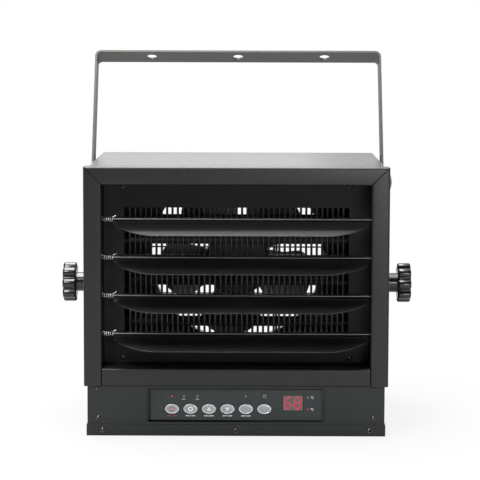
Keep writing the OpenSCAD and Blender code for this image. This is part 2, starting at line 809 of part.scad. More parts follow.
module inner_baffle() {
    duct_d = baffle_y - seam_y - seat;
    color("#242525") difference() {
        union() {
            facing_front(0, baffle_y + sheet, 0) linear_extrude(sheet)
                inside_panel_2d(shelf_z + sheet + seat);
            // duct between the louver frame and the baffle
            translate([-open_w / 2 - sheet, seam_y + seat, open_z - open_h / 2 - sheet])
                cube([open_w + 2 * sheet, duct_d + 0.01, open_h + 2 * sheet]);
        }
        translate([-open_w / 2, seam_y, open_z - open_h / 2]) cube([open_w, baffle_y - seam_y, open_h]);
        translate([-mouth_w / 2, baffle_y - 1, air_z - mouth_h / 2]) cube([mouth_w, sheet + 2, mouth_h]);
        baffle_screw_places() screw_hole();
    }
}

module guard_grille() {
    count = floor((mouth_w / 2 - bar_d / 2) / bar_pitch);
    bar_l = mouth_h + 2 * guard_lap;
    strip_w = mouth_w + 2 * guard_lap;
    color("#1d1e1e") {
        for (i = [-count : count]) translate([i * bar_pitch, guard_y, air_z - bar_l / 2])
            cylinder(h = bar_l, d = bar_d, $fn = 24);
        for (z = [-bar_l / 2 + 1, bar_l / 2 - strip_h - 1])
            translate([-strip_w / 2, guard_y + bar_d / 2 - weld, air_z + z])
                cube([strip_w, strip_t, strip_h]);
        for (side = [-1, 1]) translate([side < 0 ? -strip_w / 2 : strip_w / 2 - strip_h + 1.5,
            guard_y + bar_d / 2 - weld, air_z - bar_l / 2 + 1]) cube([strip_h - 1.5, strip_t, bar_l - 2]);
    }
}

function row_z(r) = air_z + (r - rows_per_bank + 0.5) * row_pitch;

// A hairpin tube: two passes along X, joined by a round bend on the right.
module hairpin(z) {
    for (y = [-pass_gap / 2, pass_gap / 2]) translate([-tube_end_x, element_y + y, z]) rotate([0, 90, 0]) {
        cylinder(h = tube_end_x + bend_start_x, d = tube_d);
        translate([0, 0, -pin_l]) cylinder(h = pin_l + 0.01, d = pin_d, $fn = 24);
        translate([0, 0, -seal_l]) cylinder(h = seal_l + 0.01, d = seal_d, $fn = 32);
    }
    translate([bend_start_x, element_y, z]) rotate([0, 0, -90]) rotate_extrude(angle = 180)
        translate([pass_gap / 2, 0]) circle(d = tube_d);
}

module upper_elements() {
    color("#26201e") for (r = [rows_per_bank : 2 * rows_per_bank - 1]) hairpin(row_z(r));
}

module lower_elements() {
    color("#26201e") for (r = [0 : rows_per_bank - 1]) hairpin(row_z(r));
}

module end_plate(side) {
    low = air_z - end_plate_h / 2;
    translate([side * end_plate_x - sheet / 2, element_y - pass_gap / 2 - end_plate_front, low])
        cube([sheet, end_plate_d, end_plate_h]);
    // folded edge towards the baffle
    edge_y = baffle_y + sheet + seat;
    translate([side * end_plate_x - sheet / 2, edge_y, air_z + mouth_h / 2 + guard_lap + 2])
        cube([sheet, element_y - edge_y, end_plate_h / 2 - mouth_h / 2 - guard_lap - 2]);
    translate([side * end_plate_x - sheet / 2, edge_y, low])
        cube([sheet, element_y - edge_y, end_plate_h / 2 - mouth_h / 2 - guard_lap - 2]);
}

module element_bracket_left() {
    color("#7d8082") difference() {
        end_plate(-1);
        for (r = [0 : 2 * rows_per_bank - 1], y = [-pass_gap / 2, pass_gap / 2])
            translate([-end_plate_x, element_y + y, row_z(r)]) rotate([0, 90, 0])
                cylinder(h = cut_l, d = tube_d + 2 * seat, center = true);
    }
}

module element_bracket_right() {
    slot_h = tube_d + 2 * seat;
    color("#7d8082") difference() {
        end_plate(1);
        for (r = [0 : 2 * rows_per_bank - 1]) translate([end_plate_x, element_y, row_z(r)]) {
            for (y = [-pass_gap / 2, pass_gap / 2]) translate([0, y, 0]) rotate([0, 90, 0])
                cylinder(h = cut_l, d = slot_h, center = true);
            cube([cut_l, pass_gap, slot_h], center = true);
        }
    }
}

module limit_thermostat() {
    color("#c8c2b0") translate([sheet / 2 + seat - end_plate_x,
        element_y + pass_gap / 2 + end_plate_back / 2 + 2, row_z(2 * rows_per_bank - 1)])
        rotate([0, 90, 0]) {
            cylinder(h = cut_out_h, d = cut_out_d);
            translate([-cut_out_ear_l / 2, -cut_out_ear_w / 2, 0])
                cube([cut_out_ear_l, cut_out_ear_w, tab_t]);
            for (y = [-cut_out_d / 4, cut_out_d / 4])
                translate([-cut_out_tab_w / 2, y - tab_t / 2, cut_out_h - 0.1])
                    cube([cut_out_tab_w, tab_t, cut_out_tab_h]);
        }
}

// ---- fan and motor ----

// Edges of one fan blade in polar form: angle against radius, seen from the front.
blade_root_r = hub_plate_d / 2 - 6;
blade_tip_r = fan_d / 2;
function tip_share(r) = max(0, r - blade_tip_r + blade_tip_l) / (blade_tip_l + 0.5);
function blade_half(r) = blade_half_a * sqrt(1 - tip_share(r) * tip_share(r));
function blade_lead(r) = blade_mid_a - blade_half(r);
function blade_trail(r) = blade_mid_a + blade_half(r) + max(0, blade_heel_r - r) * blade_heel_a;

module fan_blade_2d() {
    steps = 16;
    radii = [for (k = [0 : steps]) blade_root_r + (blade_tip_r - blade_root_r) * sin(90 * k / steps)];
    polygon(concat(
        [for (r = radii) r * [cos(blade_lead(r)), sin(blade_lead(r))]],
        [for (k = [steps - 1 : -1 : 0])
            let (r = radii[k], a = blade_trail(r)) r * [cos(a), sin(a)]]));
}

module fan_blade() {
    intersection() {
        translate([0, 0, -fan_depth / 2]) linear_extrude(fan_depth) fan_blade_2d();
        rotate([0, 0, blade_mid_a]) rotate([-blade_pitch, 0, 0]) translate([hub_plate_d / 4, 0, -fan_camber_r])
            rotate([0, 90, 0]) difference() {
                cylinder(h = blade_tip_r, r = fan_camber_r + fan_t / 2, $fn = 128);
                translate([0, 0, -1]) cylinder(h = blade_tip_r + 2, r = fan_camber_r - fan_t / 2, $fn = 128);
            }
    }
}

module fan() {
    color("#4a4c4d") facing_front(0, fan_y, air_z) difference() {
        union() {
            translate([0, 0, -fan_t / 2]) cylinder(h = fan_t, d = hub_plate_d);
            translate([0, 0, -hub_boss_back]) cylinder(h = hub_boss_l, d = hub_boss_d);
            for (k = [1 : blade_count]) rotate([0, 0, 360 / blade_count * k]) fan_blade();
        }
        cylinder(h = 60, d = shaft_d, center = true);
    }
}

module motor_shaft() {
    color("#b5b8ba") facing_back(0, motor_back_y - shaft_in, air_z)
        cylinder(h = fan_y + 6 - motor_back_y + shaft_in, d = shaft_d - 2 * run_clear);
}

module motor() {
    r = motor_d / 2;
    color("#2b2d2e") facing_back(0, motor_back_y, air_z) difference() {
        rotate_extrude() {
            translate([0, motor_round - motor_l]) square([r, motor_l - 2 * motor_round]);
            translate([0, -motor_l]) square([r - motor_round, motor_l]);
            translate([r - motor_round, motor_round - motor_l]) circle(motor_round);
            translate([r - motor_round, -motor_round]) circle(motor_round);
            translate([0, -motor_l - motor_round]) square([motor_nose_d / 2, motor_round + 2]);
        }
        translate([0, 0, -shaft_in - 2]) cylinder(h = shaft_in + 10, d = shaft_d);
        for (a = [0 : 30 : 330]) rotate([0, 0, a]) translate([r - vent_inset, 0, -2])
            cylinder(h = 8, d = vent_d, $fn = 24);
    }
}

module motor_bracket() {
    y = motor_back_y + seat;
    color("#6f7274") difference() {
        union() {
            translate([-inner_w / 2 + seat, y, air_z - motor_strap_h / 2])
                cube([inner_w - 2 * seat, motor_strap_t, motor_strap_h]);
            for (side = [-1, 1])
                translate([side < 0 ? -inner_w / 2 + seat : inner_w / 2 - seat - motor_strap_t, y - motor_foot_l,
                    air_z - motor_strap_h / 2]) cube([motor_strap_t, motor_foot_l + 0.01, motor_strap_h]);
            facing_back(0, y, air_z) cylinder(h = motor_strap_t, d = motor_disc_d);
        }
        facing_back(0, y, air_z) cylinder(h = 20, d = shaft_d + 4, center = true);
    }
}

// A ring with two uprights, and the wires that are welded on its front.
module rear_guard() {
    ring_r = inlet_d / 2;
    rows = floor((ring_r - guard_ring_w) / wire_pitch - 0.5);
    wire_y = guard_plane_y - strip_t - seat - wire_d / 2;
    color("#3a3c3c") {
        facing_front(0, guard_plane_y, air_z) difference() {
            cylinder(h = strip_t, r = ring_r + guard_ring_w);
            translate([0, 0, -1]) linear_extrude(strip_t + 2) difference() {
                circle(ring_r);
                for (x = [-guard_upright_x, guard_upright_x])
                    translate([x - guard_upright_w / 2, -2 * ring_r]) square([guard_upright_w, 4 * ring_r]);
            }
        }
        for (k = [-rows - 1 : rows]) {
            z = (k + 0.5) * wire_pitch;
            half = sqrt(pow(ring_r + guard_ring_w / 2, 2) - z * z);
            translate([-half, wire_y, air_z + z]) rotate([0, 90, 0])
                cylinder(h = 2 * half, d = wire_d, $fn = 24);
        }
    }
}

module cable_gland() {
    color("#1b1c1c") facing_back(gland_x, back_y, gland_z) difference() {
        union() {
            translate([0, 0, -gland_half_l]) cylinder(h = 2 * gland_half_l, d = gland_neck_d);
            translate([0, 0, seat]) cylinder(h = gland_hex_h, d = gland_body_d * 1.3, $fn = 6);
            translate([0, 0, gland_hex_h]) cylinder(h = gland_cap_l, d = gland_body_d);
            translate([0, 0, -sheet - seat - gland_nut_h])
                cylinder(h = gland_nut_h, d = gland_body_d * 1.25, $fn = 6);
        }
        cylinder(h = 60, d = gland_bore_d, center = true);
    }
}

// ---- bracket and knobs ----

module bracket() {
    half = bracket_out;
    color("#4b4d4a") translate([0, pivot_y, pivot_z]) rotate([-bracket_tilt, 0, 0]) difference() {
        union() {
            translate([0, strap_w / 2, 0]) rotate([90, 0, 0]) linear_extrude(strap_w) difference() {
                translate([-half, -strap_bend_r * 3])
                    rounded_rect(2 * half, bracket_l + strap_bend_r * 3, strap_bend_r);
                translate([-bracket_in, -strap_bend_r * 4]) rounded_rect(2 * bracket_in,
                    bracket_l - strap_t + strap_bend_r * 4, strap_bend_r - strap_t);
                translate([-2 * half, -half]) square([4 * half, half]);
            }
            for (side = [-1, 1]) facing_side(side, bracket_in, 0, 0) cylinder(h = strap_t, d = strap_w);
        }
        for (side = [-1, 1]) facing_side(side, bracket_in, 0, 0)
            cylinder(h = 20, d = stud_d + 2 * slip, center = true);
        for (k = [-1 : 1]) translate([k * mount_hole_pitch, 0, bracket_l])
            cylinder(h = 4 * strap_t, d = mount_hole_d, center = true);
    }
}

module pivot_ring(thick, outer) {
    difference() {
        cylinder(h = thick, d = outer);
        translate([0, 0, -1]) cylinder(h = thick + 2, d = stud_d + 2 * slip);
    }
}

module pivot_spacers() {
    color("#1a1b1b") for (side = [-1, 1]) facing_side(side, case_w / 2 + seat / 2, pivot_y, pivot_z)
        pivot_ring(spacer_t - slip, strap_w - 2);
}

module knob_washers() {
    color("#aeb1b3") for (side = [-1, 1]) facing_side(side, bracket_out + seat, pivot_y, pivot_z)
        pivot_ring(washer_t, knob_hub_d - 1);
}

module pivot_nuts() {
    color("#9ea1a3") for (side = [-1, 1]) facing_side(side, inner_w / 2 - seat / 2 - nut_h, pivot_y, pivot_z)
        difference() {
            cylinder(h = nut_h, d = nut_af / cos(30), $fn = 6);
            translate([0, 0, -1]) cylinder(h = nut_h + 2, d = stud_d);
        }
}

// Star knob with eight lobes; its hub stands on Z = 0.
module star_knob() {
    lobe_r = knob_d * 0.125;
    edge_r = 3;
    difference() {
        union() {
            cylinder(h = knob_hub_l + 1, d = knob_hub_d);
            translate([0, 0, knob_hub_l]) intersection() {
                linear_extrude(knob_head_t) {
                    circle(knob_d * 0.39);
                    for (a = [0 : 45 : 315]) rotate(a) translate([knob_d / 2 - lobe_r, 0]) circle(lobe_r);
                }
                rotate_extrude() {
                    square([knob_d / 2 - edge_r, knob_head_t]);
                    translate([0, edge_r]) square([knob_d / 2, knob_head_t - 2 * edge_r]);
                    translate([knob_d / 2 - edge_r, edge_r]) circle(edge_r);
                    translate([knob_d / 2 - edge_r, knob_head_t - edge_r]) circle(edge_r);
                }
            }
        }
        translate([0, 0, -1]) cylinder(h = knob_hub_l, d = stud_d - 2 * run_clear);
        translate([0, 0, knob_hub_l + knob_head_t - 1.2]) cylinder(h = 2, d = knob_d * 0.42);
    }
}

module knob_left() { color("#161717") facing_side(-1, knob_x, pivot_y, pivot_z) star_knob(); }

module knob_right() { color("#161717") facing_side(1, knob_x, pivot_y, pivot_z) star_knob(); }

module knob_stud(side) {
    stud_from = inner_w / 2 - nut_h - 2;
    color("#b9bcbe") facing_side(side, stud_from, pivot_y, pivot_z)
        cylinder(h = knob_x + knob_hub_l - 1 - seat - stud_from, d = stud_d - 2 * run_clear);
}

module knob_stud_left() { knob_stud(-1); }

module knob_stud_right() { knob_stud(1); }

// ---- screws ----

module plate_screws() { color("#1c1d1d") plate_screw_places() translate([0, 0, seat / 2]) screw(4); }

module base_screws() {
    color("#1c1d1d") {
        base_front_places() translate([0, 0, seat / 2]) screw(4);
        base_side_places() translate([0, 0, seat / 2]) screw(4);
    }
}

module baffle_screws() { color("#1c1d1d") baffle_screw_places() translate([0, 0, seat / 2]) screw(4); }

module rear_screws() { color("#1c1d1d") rear_screw_places() translate([0, 0, seat / 2]) screw(4); }

case_shell();
rear_panel();
bottom_pan();
control_plate();
control_bezel();
indicator_lamps();
display_module();
receiver_window();
control_board();
power_relays();
terminal_block();
partition_shelf();
frame_top_rail();
frame_left_stile();
frame_right_stile();
frame_bottom_rail();
inner_baffle();
guard_grille();
upper_elements();
lower_elements();
element_bracket_left();
element_bracket_right();
limit_thermostat();
motor();
motor_bracket();
rear_guard();
pivot_nuts();
pivot_spacers();
cable_gland();
side_plug();
plate_screws();
base_screws();
baffle_screws();
rear_screws();
bracket();
knob_washers();
knob_left();
knob_right();
knob_stud_left();
knob_stud_right();
louver_blade_1();
louver_blade_2();
louver_blade_3();
louver_blade_4();
louver_rod_1();
louver_rod_2();
louver_rod_3();
louver_rod_4();
louver_spring_1();
louver_spring_2();
louver_spring_3();
louver_spring_4();
fan();
motor_shaft();
button_1();
button_2();
button_3();
button_4();
button_5();
button_6();
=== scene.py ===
import json
import math
import bmesh
import bpy
from mathutils import Matrix, Vector

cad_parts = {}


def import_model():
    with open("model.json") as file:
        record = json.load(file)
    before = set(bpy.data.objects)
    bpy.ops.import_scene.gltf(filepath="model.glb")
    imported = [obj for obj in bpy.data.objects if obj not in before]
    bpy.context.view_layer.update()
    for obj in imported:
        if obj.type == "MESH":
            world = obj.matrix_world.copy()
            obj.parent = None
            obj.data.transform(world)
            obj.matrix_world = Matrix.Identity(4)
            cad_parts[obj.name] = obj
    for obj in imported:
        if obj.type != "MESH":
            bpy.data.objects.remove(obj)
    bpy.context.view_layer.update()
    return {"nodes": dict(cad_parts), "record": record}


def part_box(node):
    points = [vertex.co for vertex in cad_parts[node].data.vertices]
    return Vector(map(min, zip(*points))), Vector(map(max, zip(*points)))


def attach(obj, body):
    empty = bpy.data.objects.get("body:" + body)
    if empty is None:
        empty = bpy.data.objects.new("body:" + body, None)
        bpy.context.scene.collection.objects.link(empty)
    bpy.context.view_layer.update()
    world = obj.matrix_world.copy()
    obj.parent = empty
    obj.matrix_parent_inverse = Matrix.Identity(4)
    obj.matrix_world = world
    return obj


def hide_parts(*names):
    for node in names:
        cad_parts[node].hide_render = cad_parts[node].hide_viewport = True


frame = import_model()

MM = 0.001
nodes = frame["nodes"]
record = frame["record"]
body_of = {node: body for body, members in record["behaviour"]["bodies"].items() for node in members}
slot_of = {part["node"]: part["material_slot"] for part in record["subparts"]}


# ---- node trees ----

class Value:
    """A socket in a node tree. Arithmetic on it adds Math nodes."""

    def __init__(self, tree, socket):
        self.tree = tree
        self.socket = socket

    def math(self, operation, *values):
        return self.tree.add("ShaderNodeMath", {"operation": operation}, dict(enumerate(values)))

    def __add__(self, other):
        return self.math("ADD", self, other)

    def __radd__(self, other):
        return self.math("ADD", other, self)

    def __sub__(self, other):
        return self.math("SUBTRACT", self, other)

    def __rsub__(self, other):
        return self.math("SUBTRACT", other, self)

    def __mul__(self, other):
        return self.math("MULTIPLY", self, other)

    def __rmul__(self, other):
        return self.math("MULTIPLY", other, self)

    def __truediv__(self, other):
        return self.math("DIVIDE", self, other)

    def largest(self, other):
        return self.math("MAXIMUM", self, other)

    def step(self, low, high):
        """0 below low, 1 above high, and smooth between them."""
        return self.tree.add("ShaderNodeMapRange", {"interpolation_type": "SMOOTHSTEP"},
                             {"Value": self, "From Min": low, "From Max": high})


class Tree:
    """The nodes of a material, of the world or of a geometry modifier."""

    def __init__(self, tree):
        self.tree = tree

    def feed(self, socket, value):
        if isinstance(value, Value):
            self.tree.links.new(value.socket, socket)
        elif isinstance(value, list):
            for each in value:
                self.tree.links.new(each.socket, socket)
        else:
            socket.default_value = value

    def add(self, kind, settings=None, sockets=None, out=0):
        """Adds a node: its settings first, then the values or links of its sockets."""
        node = self.tree.nodes.new(kind)
        for name, value in (settings or {}).items():
            setattr(node, name, value)
        for key, value in (sockets or {}).items():
            self.feed(node.inputs[key], value)
        return Value(self, node.outputs[out]) if len(node.outputs) else None

    def place(self):
        return self.add("ShaderNodeTexCoord", out="Object")

    def axes(self, where):
        """The x, y and z of a vector."""
        split = self.add("ShaderNodeSeparateXYZ", {}, {"Vector": where}).socket.node
        return [Value(self, socket) for socket in split.outputs]

    def noise(self, where, scale, detail=2.0, distortion=0.0):
        return self.add("ShaderNodeTexNoise", {}, {"Vector": where, "Scale": scale, "Detail": detail,
                                                   "Distortion": distortion})

    def stretched(self, where, x, y, z):
        return self.add("ShaderNodeMapping", {}, {"Vector": where, "Scale": (x, y, z)})

    def mix(self, amount, first, second):
        return self.add("ShaderNodeMix", {"data_type": "RGBA"}, {0: amount, 6: first, 7: second}, out=2)

    def bump(self, height, depth):
        return self.add("ShaderNodeBump", {}, {"Height": height, "Distance": depth})

    def surface(self, **sockets):
        """A Principled shader; base_color stands for its Base Color socket, and so on."""
        named = {key.replace("_", " ").title().replace("Ior", "IOR"): value for key, value in sockets.items()}
        return self.add("ShaderNodeBsdfPrincipled", {}, named)


def grey(level, tint=(1.0, 1.0, 1.0)):
    return (level * tint[0], level * tint[1], level * tint[2], 1.0)


def scaled(colour, factor):
    return (colour[0] * factor, colour[1] * factor, colour[2] * factor, 1.0)


# ---- finishes ----

def powder_coat(tree, colour, roughness, specular=0.5):
    """Baked powder: fine orange peel, a trace of grit and a slow drift of tone."""
    where = tree.place()
    peel = tree.noise(where, scale=900.0)
    grit = tree.noise(where, scale=3600.0, detail=1.0)
    cloud = tree.noise(where, scale=11.0, detail=3.0)
    tone = cloud * 0.6 + grit * 0.4
    return tree.surface(base_color=tree.mix(tone, scaled(colour, 0.90), scaled(colour, 1.10)),
                        roughness=roughness + (peel - 0.5) * 0.08 + (cloud - 0.5) * 0.05,
                        specular_ior_level=specular,
                        normal=tree.bump(peel * 0.75 + grit * 0.25, 0.010 * MM))


def moulded(tree, colour, roughness, coat=0.0):
    """Moulded plastic: a very fine grain under a slow variation of gloss."""
    where = tree.place()
    fine = tree.noise(where, scale=2600.0)
    flow = tree.noise(where, scale=38.0, detail=3.0, distortion=0.6)
    return tree.surface(base_color=tree.mix(flow, scaled(colour, 0.85), scaled(colour, 1.15)),
                        roughness=roughness + (fine - 0.5) * 0.08 + (flow - 0.5) * 0.08,
                        coat_weight=coat, normal=tree.bump(fine, 0.008 * MM))


def drawn_metal(tree, colour, roughness, along=(1.0, 1.0, 1.0), metallic=1.0):
    """Metal with fine lines, which run the way in which along is small."""
    where = tree.place()
    lines = tree.noise(tree.stretched(where, *along), scale=420.0, detail=3.0)
    cloud = tree.noise(where, scale=26.0, detail=3.0)
    tone = lines * 0.5 + cloud * 0.5
    return tree.surface(base_color=tree.mix(tone, scaled(colour, 0.78), scaled(colour, 1.15)),
                        metallic=metallic,
                        roughness=roughness + (lines - 0.5) * 0.22 + (cloud - 0.5) * 0.12,
                        normal=tree.bump(lines, 0.006 * MM))


def galvanised(tree, colour):
    """Zinc flowers: flat cells of unlike brightness and gloss."""
    where = tree.place()
    flowers = tree.add("ShaderNodeTexVoronoi", {}, {"Vector": where, "Scale": 130.0}, out="Color")
    shade = tree.add("ShaderNodeSeparateColor", {}, {"Color": flowers})
    fine = tree.noise(where, scale=900.0)
    tone = shade * 0.7 + fine * 0.3
    return tree.surface(base_color=tree.mix(tone, scaled(colour, 0.70), scaled(colour, 1.20)),
                        metallic=1.0, roughness=0.34 + shade * 0.16 + (fine - 0.5) * 0.1,
                        normal=tree.bump(fine, 0.006 * MM))


def heater_sheath(tree, colour):
    """Oxidised tube: brown heat tint in patches over a matt black skin."""
    where = tree.place()
    heat = tree.noise(tree.stretched(where, 0.35, 1.0, 1.0), scale=60.0, detail=4.0, distortion=0.4)
    crust = tree.noise(where, scale=1500.0, detail=3.0)
    brown = (0.050, 0.028, 0.017, 1.0)
    return tree.surface(base_color=tree.mix(heat.step(0.45, 0.75), colour, brown), metallic=0.35,
                        roughness=0.46 + (crust - 0.5) * 0.2,
                        normal=tree.bump(crust, 0.02 * MM))


def panel_foil(tree, colour, low_right):
    """Satin foil of the control panel, a little bluer towards its lower right."""
    where = tree.place()
    across, _, up = tree.axes(where)
    corner = (across * 4.0 - up * 14.0 + 0.45).step(0.0, 1.0)
    fine = tree.noise(where, scale=2100.0)
    cloud = tree.noise(where, scale=55.0)
    return tree.surface(base_color=tree.mix(corner * 0.6 + cloud * 0.4, colour, low_right),
                        roughness=0.42 + (fine - 0.5) * 0.12 + (cloud - 0.5) * 0.08,
                        normal=tree.bump(fine, 0.01 * MM))


def lamp_lens(tree, colour, glow):
    """Glossy tinted lens; glow lights it from inside, a little unevenly."""
    cells = tree.noise(tree.place(), scale=700.0)
    return tree.surface(base_color=tree.mix(cells, scaled(colour, 0.8), scaled(colour, 1.2)),
                        roughness=0.12 + cells * 0.08, coat_weight=0.5,
                        emission_color=tree.mix(cells, scaled(colour, 0.9), scaled(colour, 1.1)),
                        emission_strength=glow)


def ink(tree, colour):
    """Screen print: slightly uneven cover, matt."""
    cover = tree.noise(tree.place(), scale=1800.0, detail=3.0)
    return tree.surface(base_color=tree.mix(cover, scaled(colour, 0.85), colour),
                        roughness=0.55 + cover * 0.1)


finishes = {}


def finish(name, recipe, **look):
    """Makes the material of that name and keeps it in finishes."""
    made = bpy.data.materials.new(name)
    made.use_nodes = True
    made.node_tree.nodes.clear()
    tree = Tree(made.node_tree)
    tree.add("ShaderNodeOutputMaterial", {}, {"Surface": recipe(tree, **look)})
    finishes[name] = made


# the names that the record gives to its material slots
finish("case_paint", powder_coat, colour=grey(0.020, (0.86, 1.07, 0.98)), roughness=0.28, specular=0.36)
finish("frame_paint", powder_coat, colour=grey(0.018), roughness=0.28, specular=0.34)
finish("inner_paint", powder_coat, colour=grey(0.013), roughness=0.45, specular=0.15)
finish("louver_paint", powder_coat, colour=grey(0.0065), roughness=0.32)
finish("bracket_paint", powder_coat, colour=grey(0.048, (1.0, 1.03, 0.88)), roughness=0.40)
finish("guard_paint", powder_coat, colour=grey(0.005), roughness=0.20)
finish("element_sheath", heater_sheath, colour=(0.014, 0.013, 0.013, 1.0))
finish("bare_steel", galvanised, colour=(0.46, 0.47, 0.48, 1.0))
finish("zinc_steel", drawn_metal, colour=(0.62, 0.63, 0.64, 1.0), roughness=0.28, along=(0.2, 1.0, 1.0))
finish("rod_steel", drawn_metal, colour=(0.16, 0.16, 0.165, 1.0), roughness=0.34, along=(0.03, 1.0, 1.0))
finish("spring_steel", drawn_metal, colour=(0.95, 0.96, 0.97, 1.0), roughness=0.24, along=(0.6, 1.0, 1.0),
       metallic=0.75)
finish("screw_black", drawn_metal, colour=(0.10, 0.10, 0.105, 1.0), roughness=0.20, metallic=0.85)
finish("fan_aluminium", drawn_metal, colour=(0.30, 0.31, 0.32, 1.0), roughness=0.42, along=(0.4, 1.0, 0.4))
finish("motor_paint", powder_coat, colour=grey(0.028), roughness=0.40)
finish("knob_plastic", moulded, colour=grey(0.010), roughness=0.20, coat=0.3)
finish("panel_plastic", panel_foil, colour=(0.019, 0.028, 0.025, 1.0), low_right=(0.016, 0.020, 0.029, 1.0))
finish("button_plastic", drawn_metal, colour=(0.38, 0.39, 0.42, 1.0), roughness=0.38, metallic=0.45)
finish("lamp_plastic", lamp_lens, colour=(0.20, 0.21, 0.20, 1.0), glow=0.0)
finish("display_plastic", moulded, colour=(0.13, 0.12, 0.08, 1.0), roughness=0.30)
finish("circuit_board", moulded, colour=(0.02, 0.12, 0.06, 1.0), roughness=0.35)
finish("relay_plastic", moulded, colour=(0.02, 0.06, 0.16, 1.0), roughness=0.35)
finish("terminal_plastic", moulded, colour=(0.62, 0.58, 0.48, 1.0), roughness=0.45)

# more finishes, for parts of a piece
finish("button_rim", drawn_metal, colour=(0.88, 0.89, 0.90, 1.0), roughness=0.25, metallic=0.35)
finish("white_ink", ink, colour=(0.92, 0.93, 0.93, 1.0))
finish("grey_ink", ink, colour=(0.55, 0.57, 0.56, 1.0))
finish("red_ink", ink, colour=(0.40, 0.06, 0.10, 1.0))
finish("lit_red", lamp_lens, colour=(0.42, 0.020, 0.085, 1.0), glow=0.22)
finish("dim_segment", ink, colour=(0.15, 0.14, 0.09, 1.0))
# near black painted on the shaded walls of the control recess: painted shade, not the colour of the moulding
finish("painted_recess_shade", moulded, colour=grey(0.004), roughness=0.45)
finish("receiver_tint", moulded, colour=(0.10, 0.11, 0.105, 1.0), roughness=0.15)


# ---- making pieces ----

def link(piece, body, slot):
    """Puts a piece in the scene and on its body; slot is not used."""
    bpy.context.scene.collection.objects.link(piece)
    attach(piece, body)
    return piece


SHARP = 32.0                            # degrees from which an edge stays sharp
MOULDED_SHARP = 40.0                    # the same on moulded pieces
WIRE_SHARP = 50.0                       # and on round wire
WELD = 0.002 * MM                       # vertices of a CAD mesh closer than this are one


def shade(mesh, angle=SHARP):
    """Smooth shading that keeps the edges sharper than angle, in degrees."""
    mesh.polygons.foreach_set("use_smooth", [True] * len(mesh.polygons))
    mesh.set_sharp_from_angle(angle=math.radians(angle))


def applied(piece):
    """Turns a piece with its modifiers into a plain mesh."""
    view = bpy.context.evaluated_depsgraph_get()
    mesh = bpy.data.meshes.new_from_object(piece.evaluated_get(view))
    piece.modifiers.clear()
    piece.data = mesh


def merged_copy(node):
    """The mesh of a CAD node with its triangles joined and its flat faces made whole."""
    mesh = nodes[node].data.copy()
    mesh.name = node + "_sheet"
    work = bmesh.new()
    work.from_mesh(mesh)
    bmesh.ops.remove_doubles(work, verts=work.verts, dist=WELD)
    bmesh.ops.dissolve_limit(work, angle_limit=math.radians(0.5), verts=work.verts, edges=work.edges)
    work.to_mesh(mesh)
    work.free()
    return mesh


def dress(node, edge=0.0):
    """Stands for a CAD node: the same shape with its sharp edges rounded by edge, in metres."""
    slot = slot_of[node]
    mesh = merged_copy(node)
    mesh.materials.clear()
    mesh.materials.append(finishes[slot])
    piece = bpy.data.objects.new(node + "_dressed", mesh)
    shade(mesh)
    if edge:
        bpy.context.scene.collection.objects.link(piece)
        rounding = piece.modifiers.new("rounding", "BEVEL")
        rounding.width = edge
        rounding.segments = 2
        rounding.limit_method = "ANGLE"
        rounding.angle_limit = math.radians(SHARP)
        rounding.use_clamp_overlap = False
        rounding.harden_normals = True
        bpy.context.view_layer.update()
        applied(piece)
        bpy.context.scene.collection.objects.unlink(piece)
    link(piece, body_of[node], slot)
    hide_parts(node)
    return piece


def islands(node):
    """The separate solids of a CAD node, as pairs of lowest and highest corners, in a fixed order."""
    work = bmesh.new()
    work.from_mesh(nodes[node].data)
    bmesh.ops.remove_doubles(work, verts=work.verts, dist=WELD)
    left = set(work.verts)
    boxes = []
    while left:
        front = [left.pop()]
        found = list(front)
        while front:
            vert = front.pop()
            for edge in vert.link_edges:
                other = edge.other_vert(vert)
                if other in left:
                    left.discard(other)
                    front.append(other)
                    found.append(other)
        low = Vector([min(v.co[i] for v in found) for i in range(3)])
        high = Vector([max(v.co[i] for v in found) for i in range(3)])
        boxes.append((low, high))
    work.free()
    return sorted(boxes, key=lambda box: [round(box[0][i], 4) for i in (0, 2, 1)])


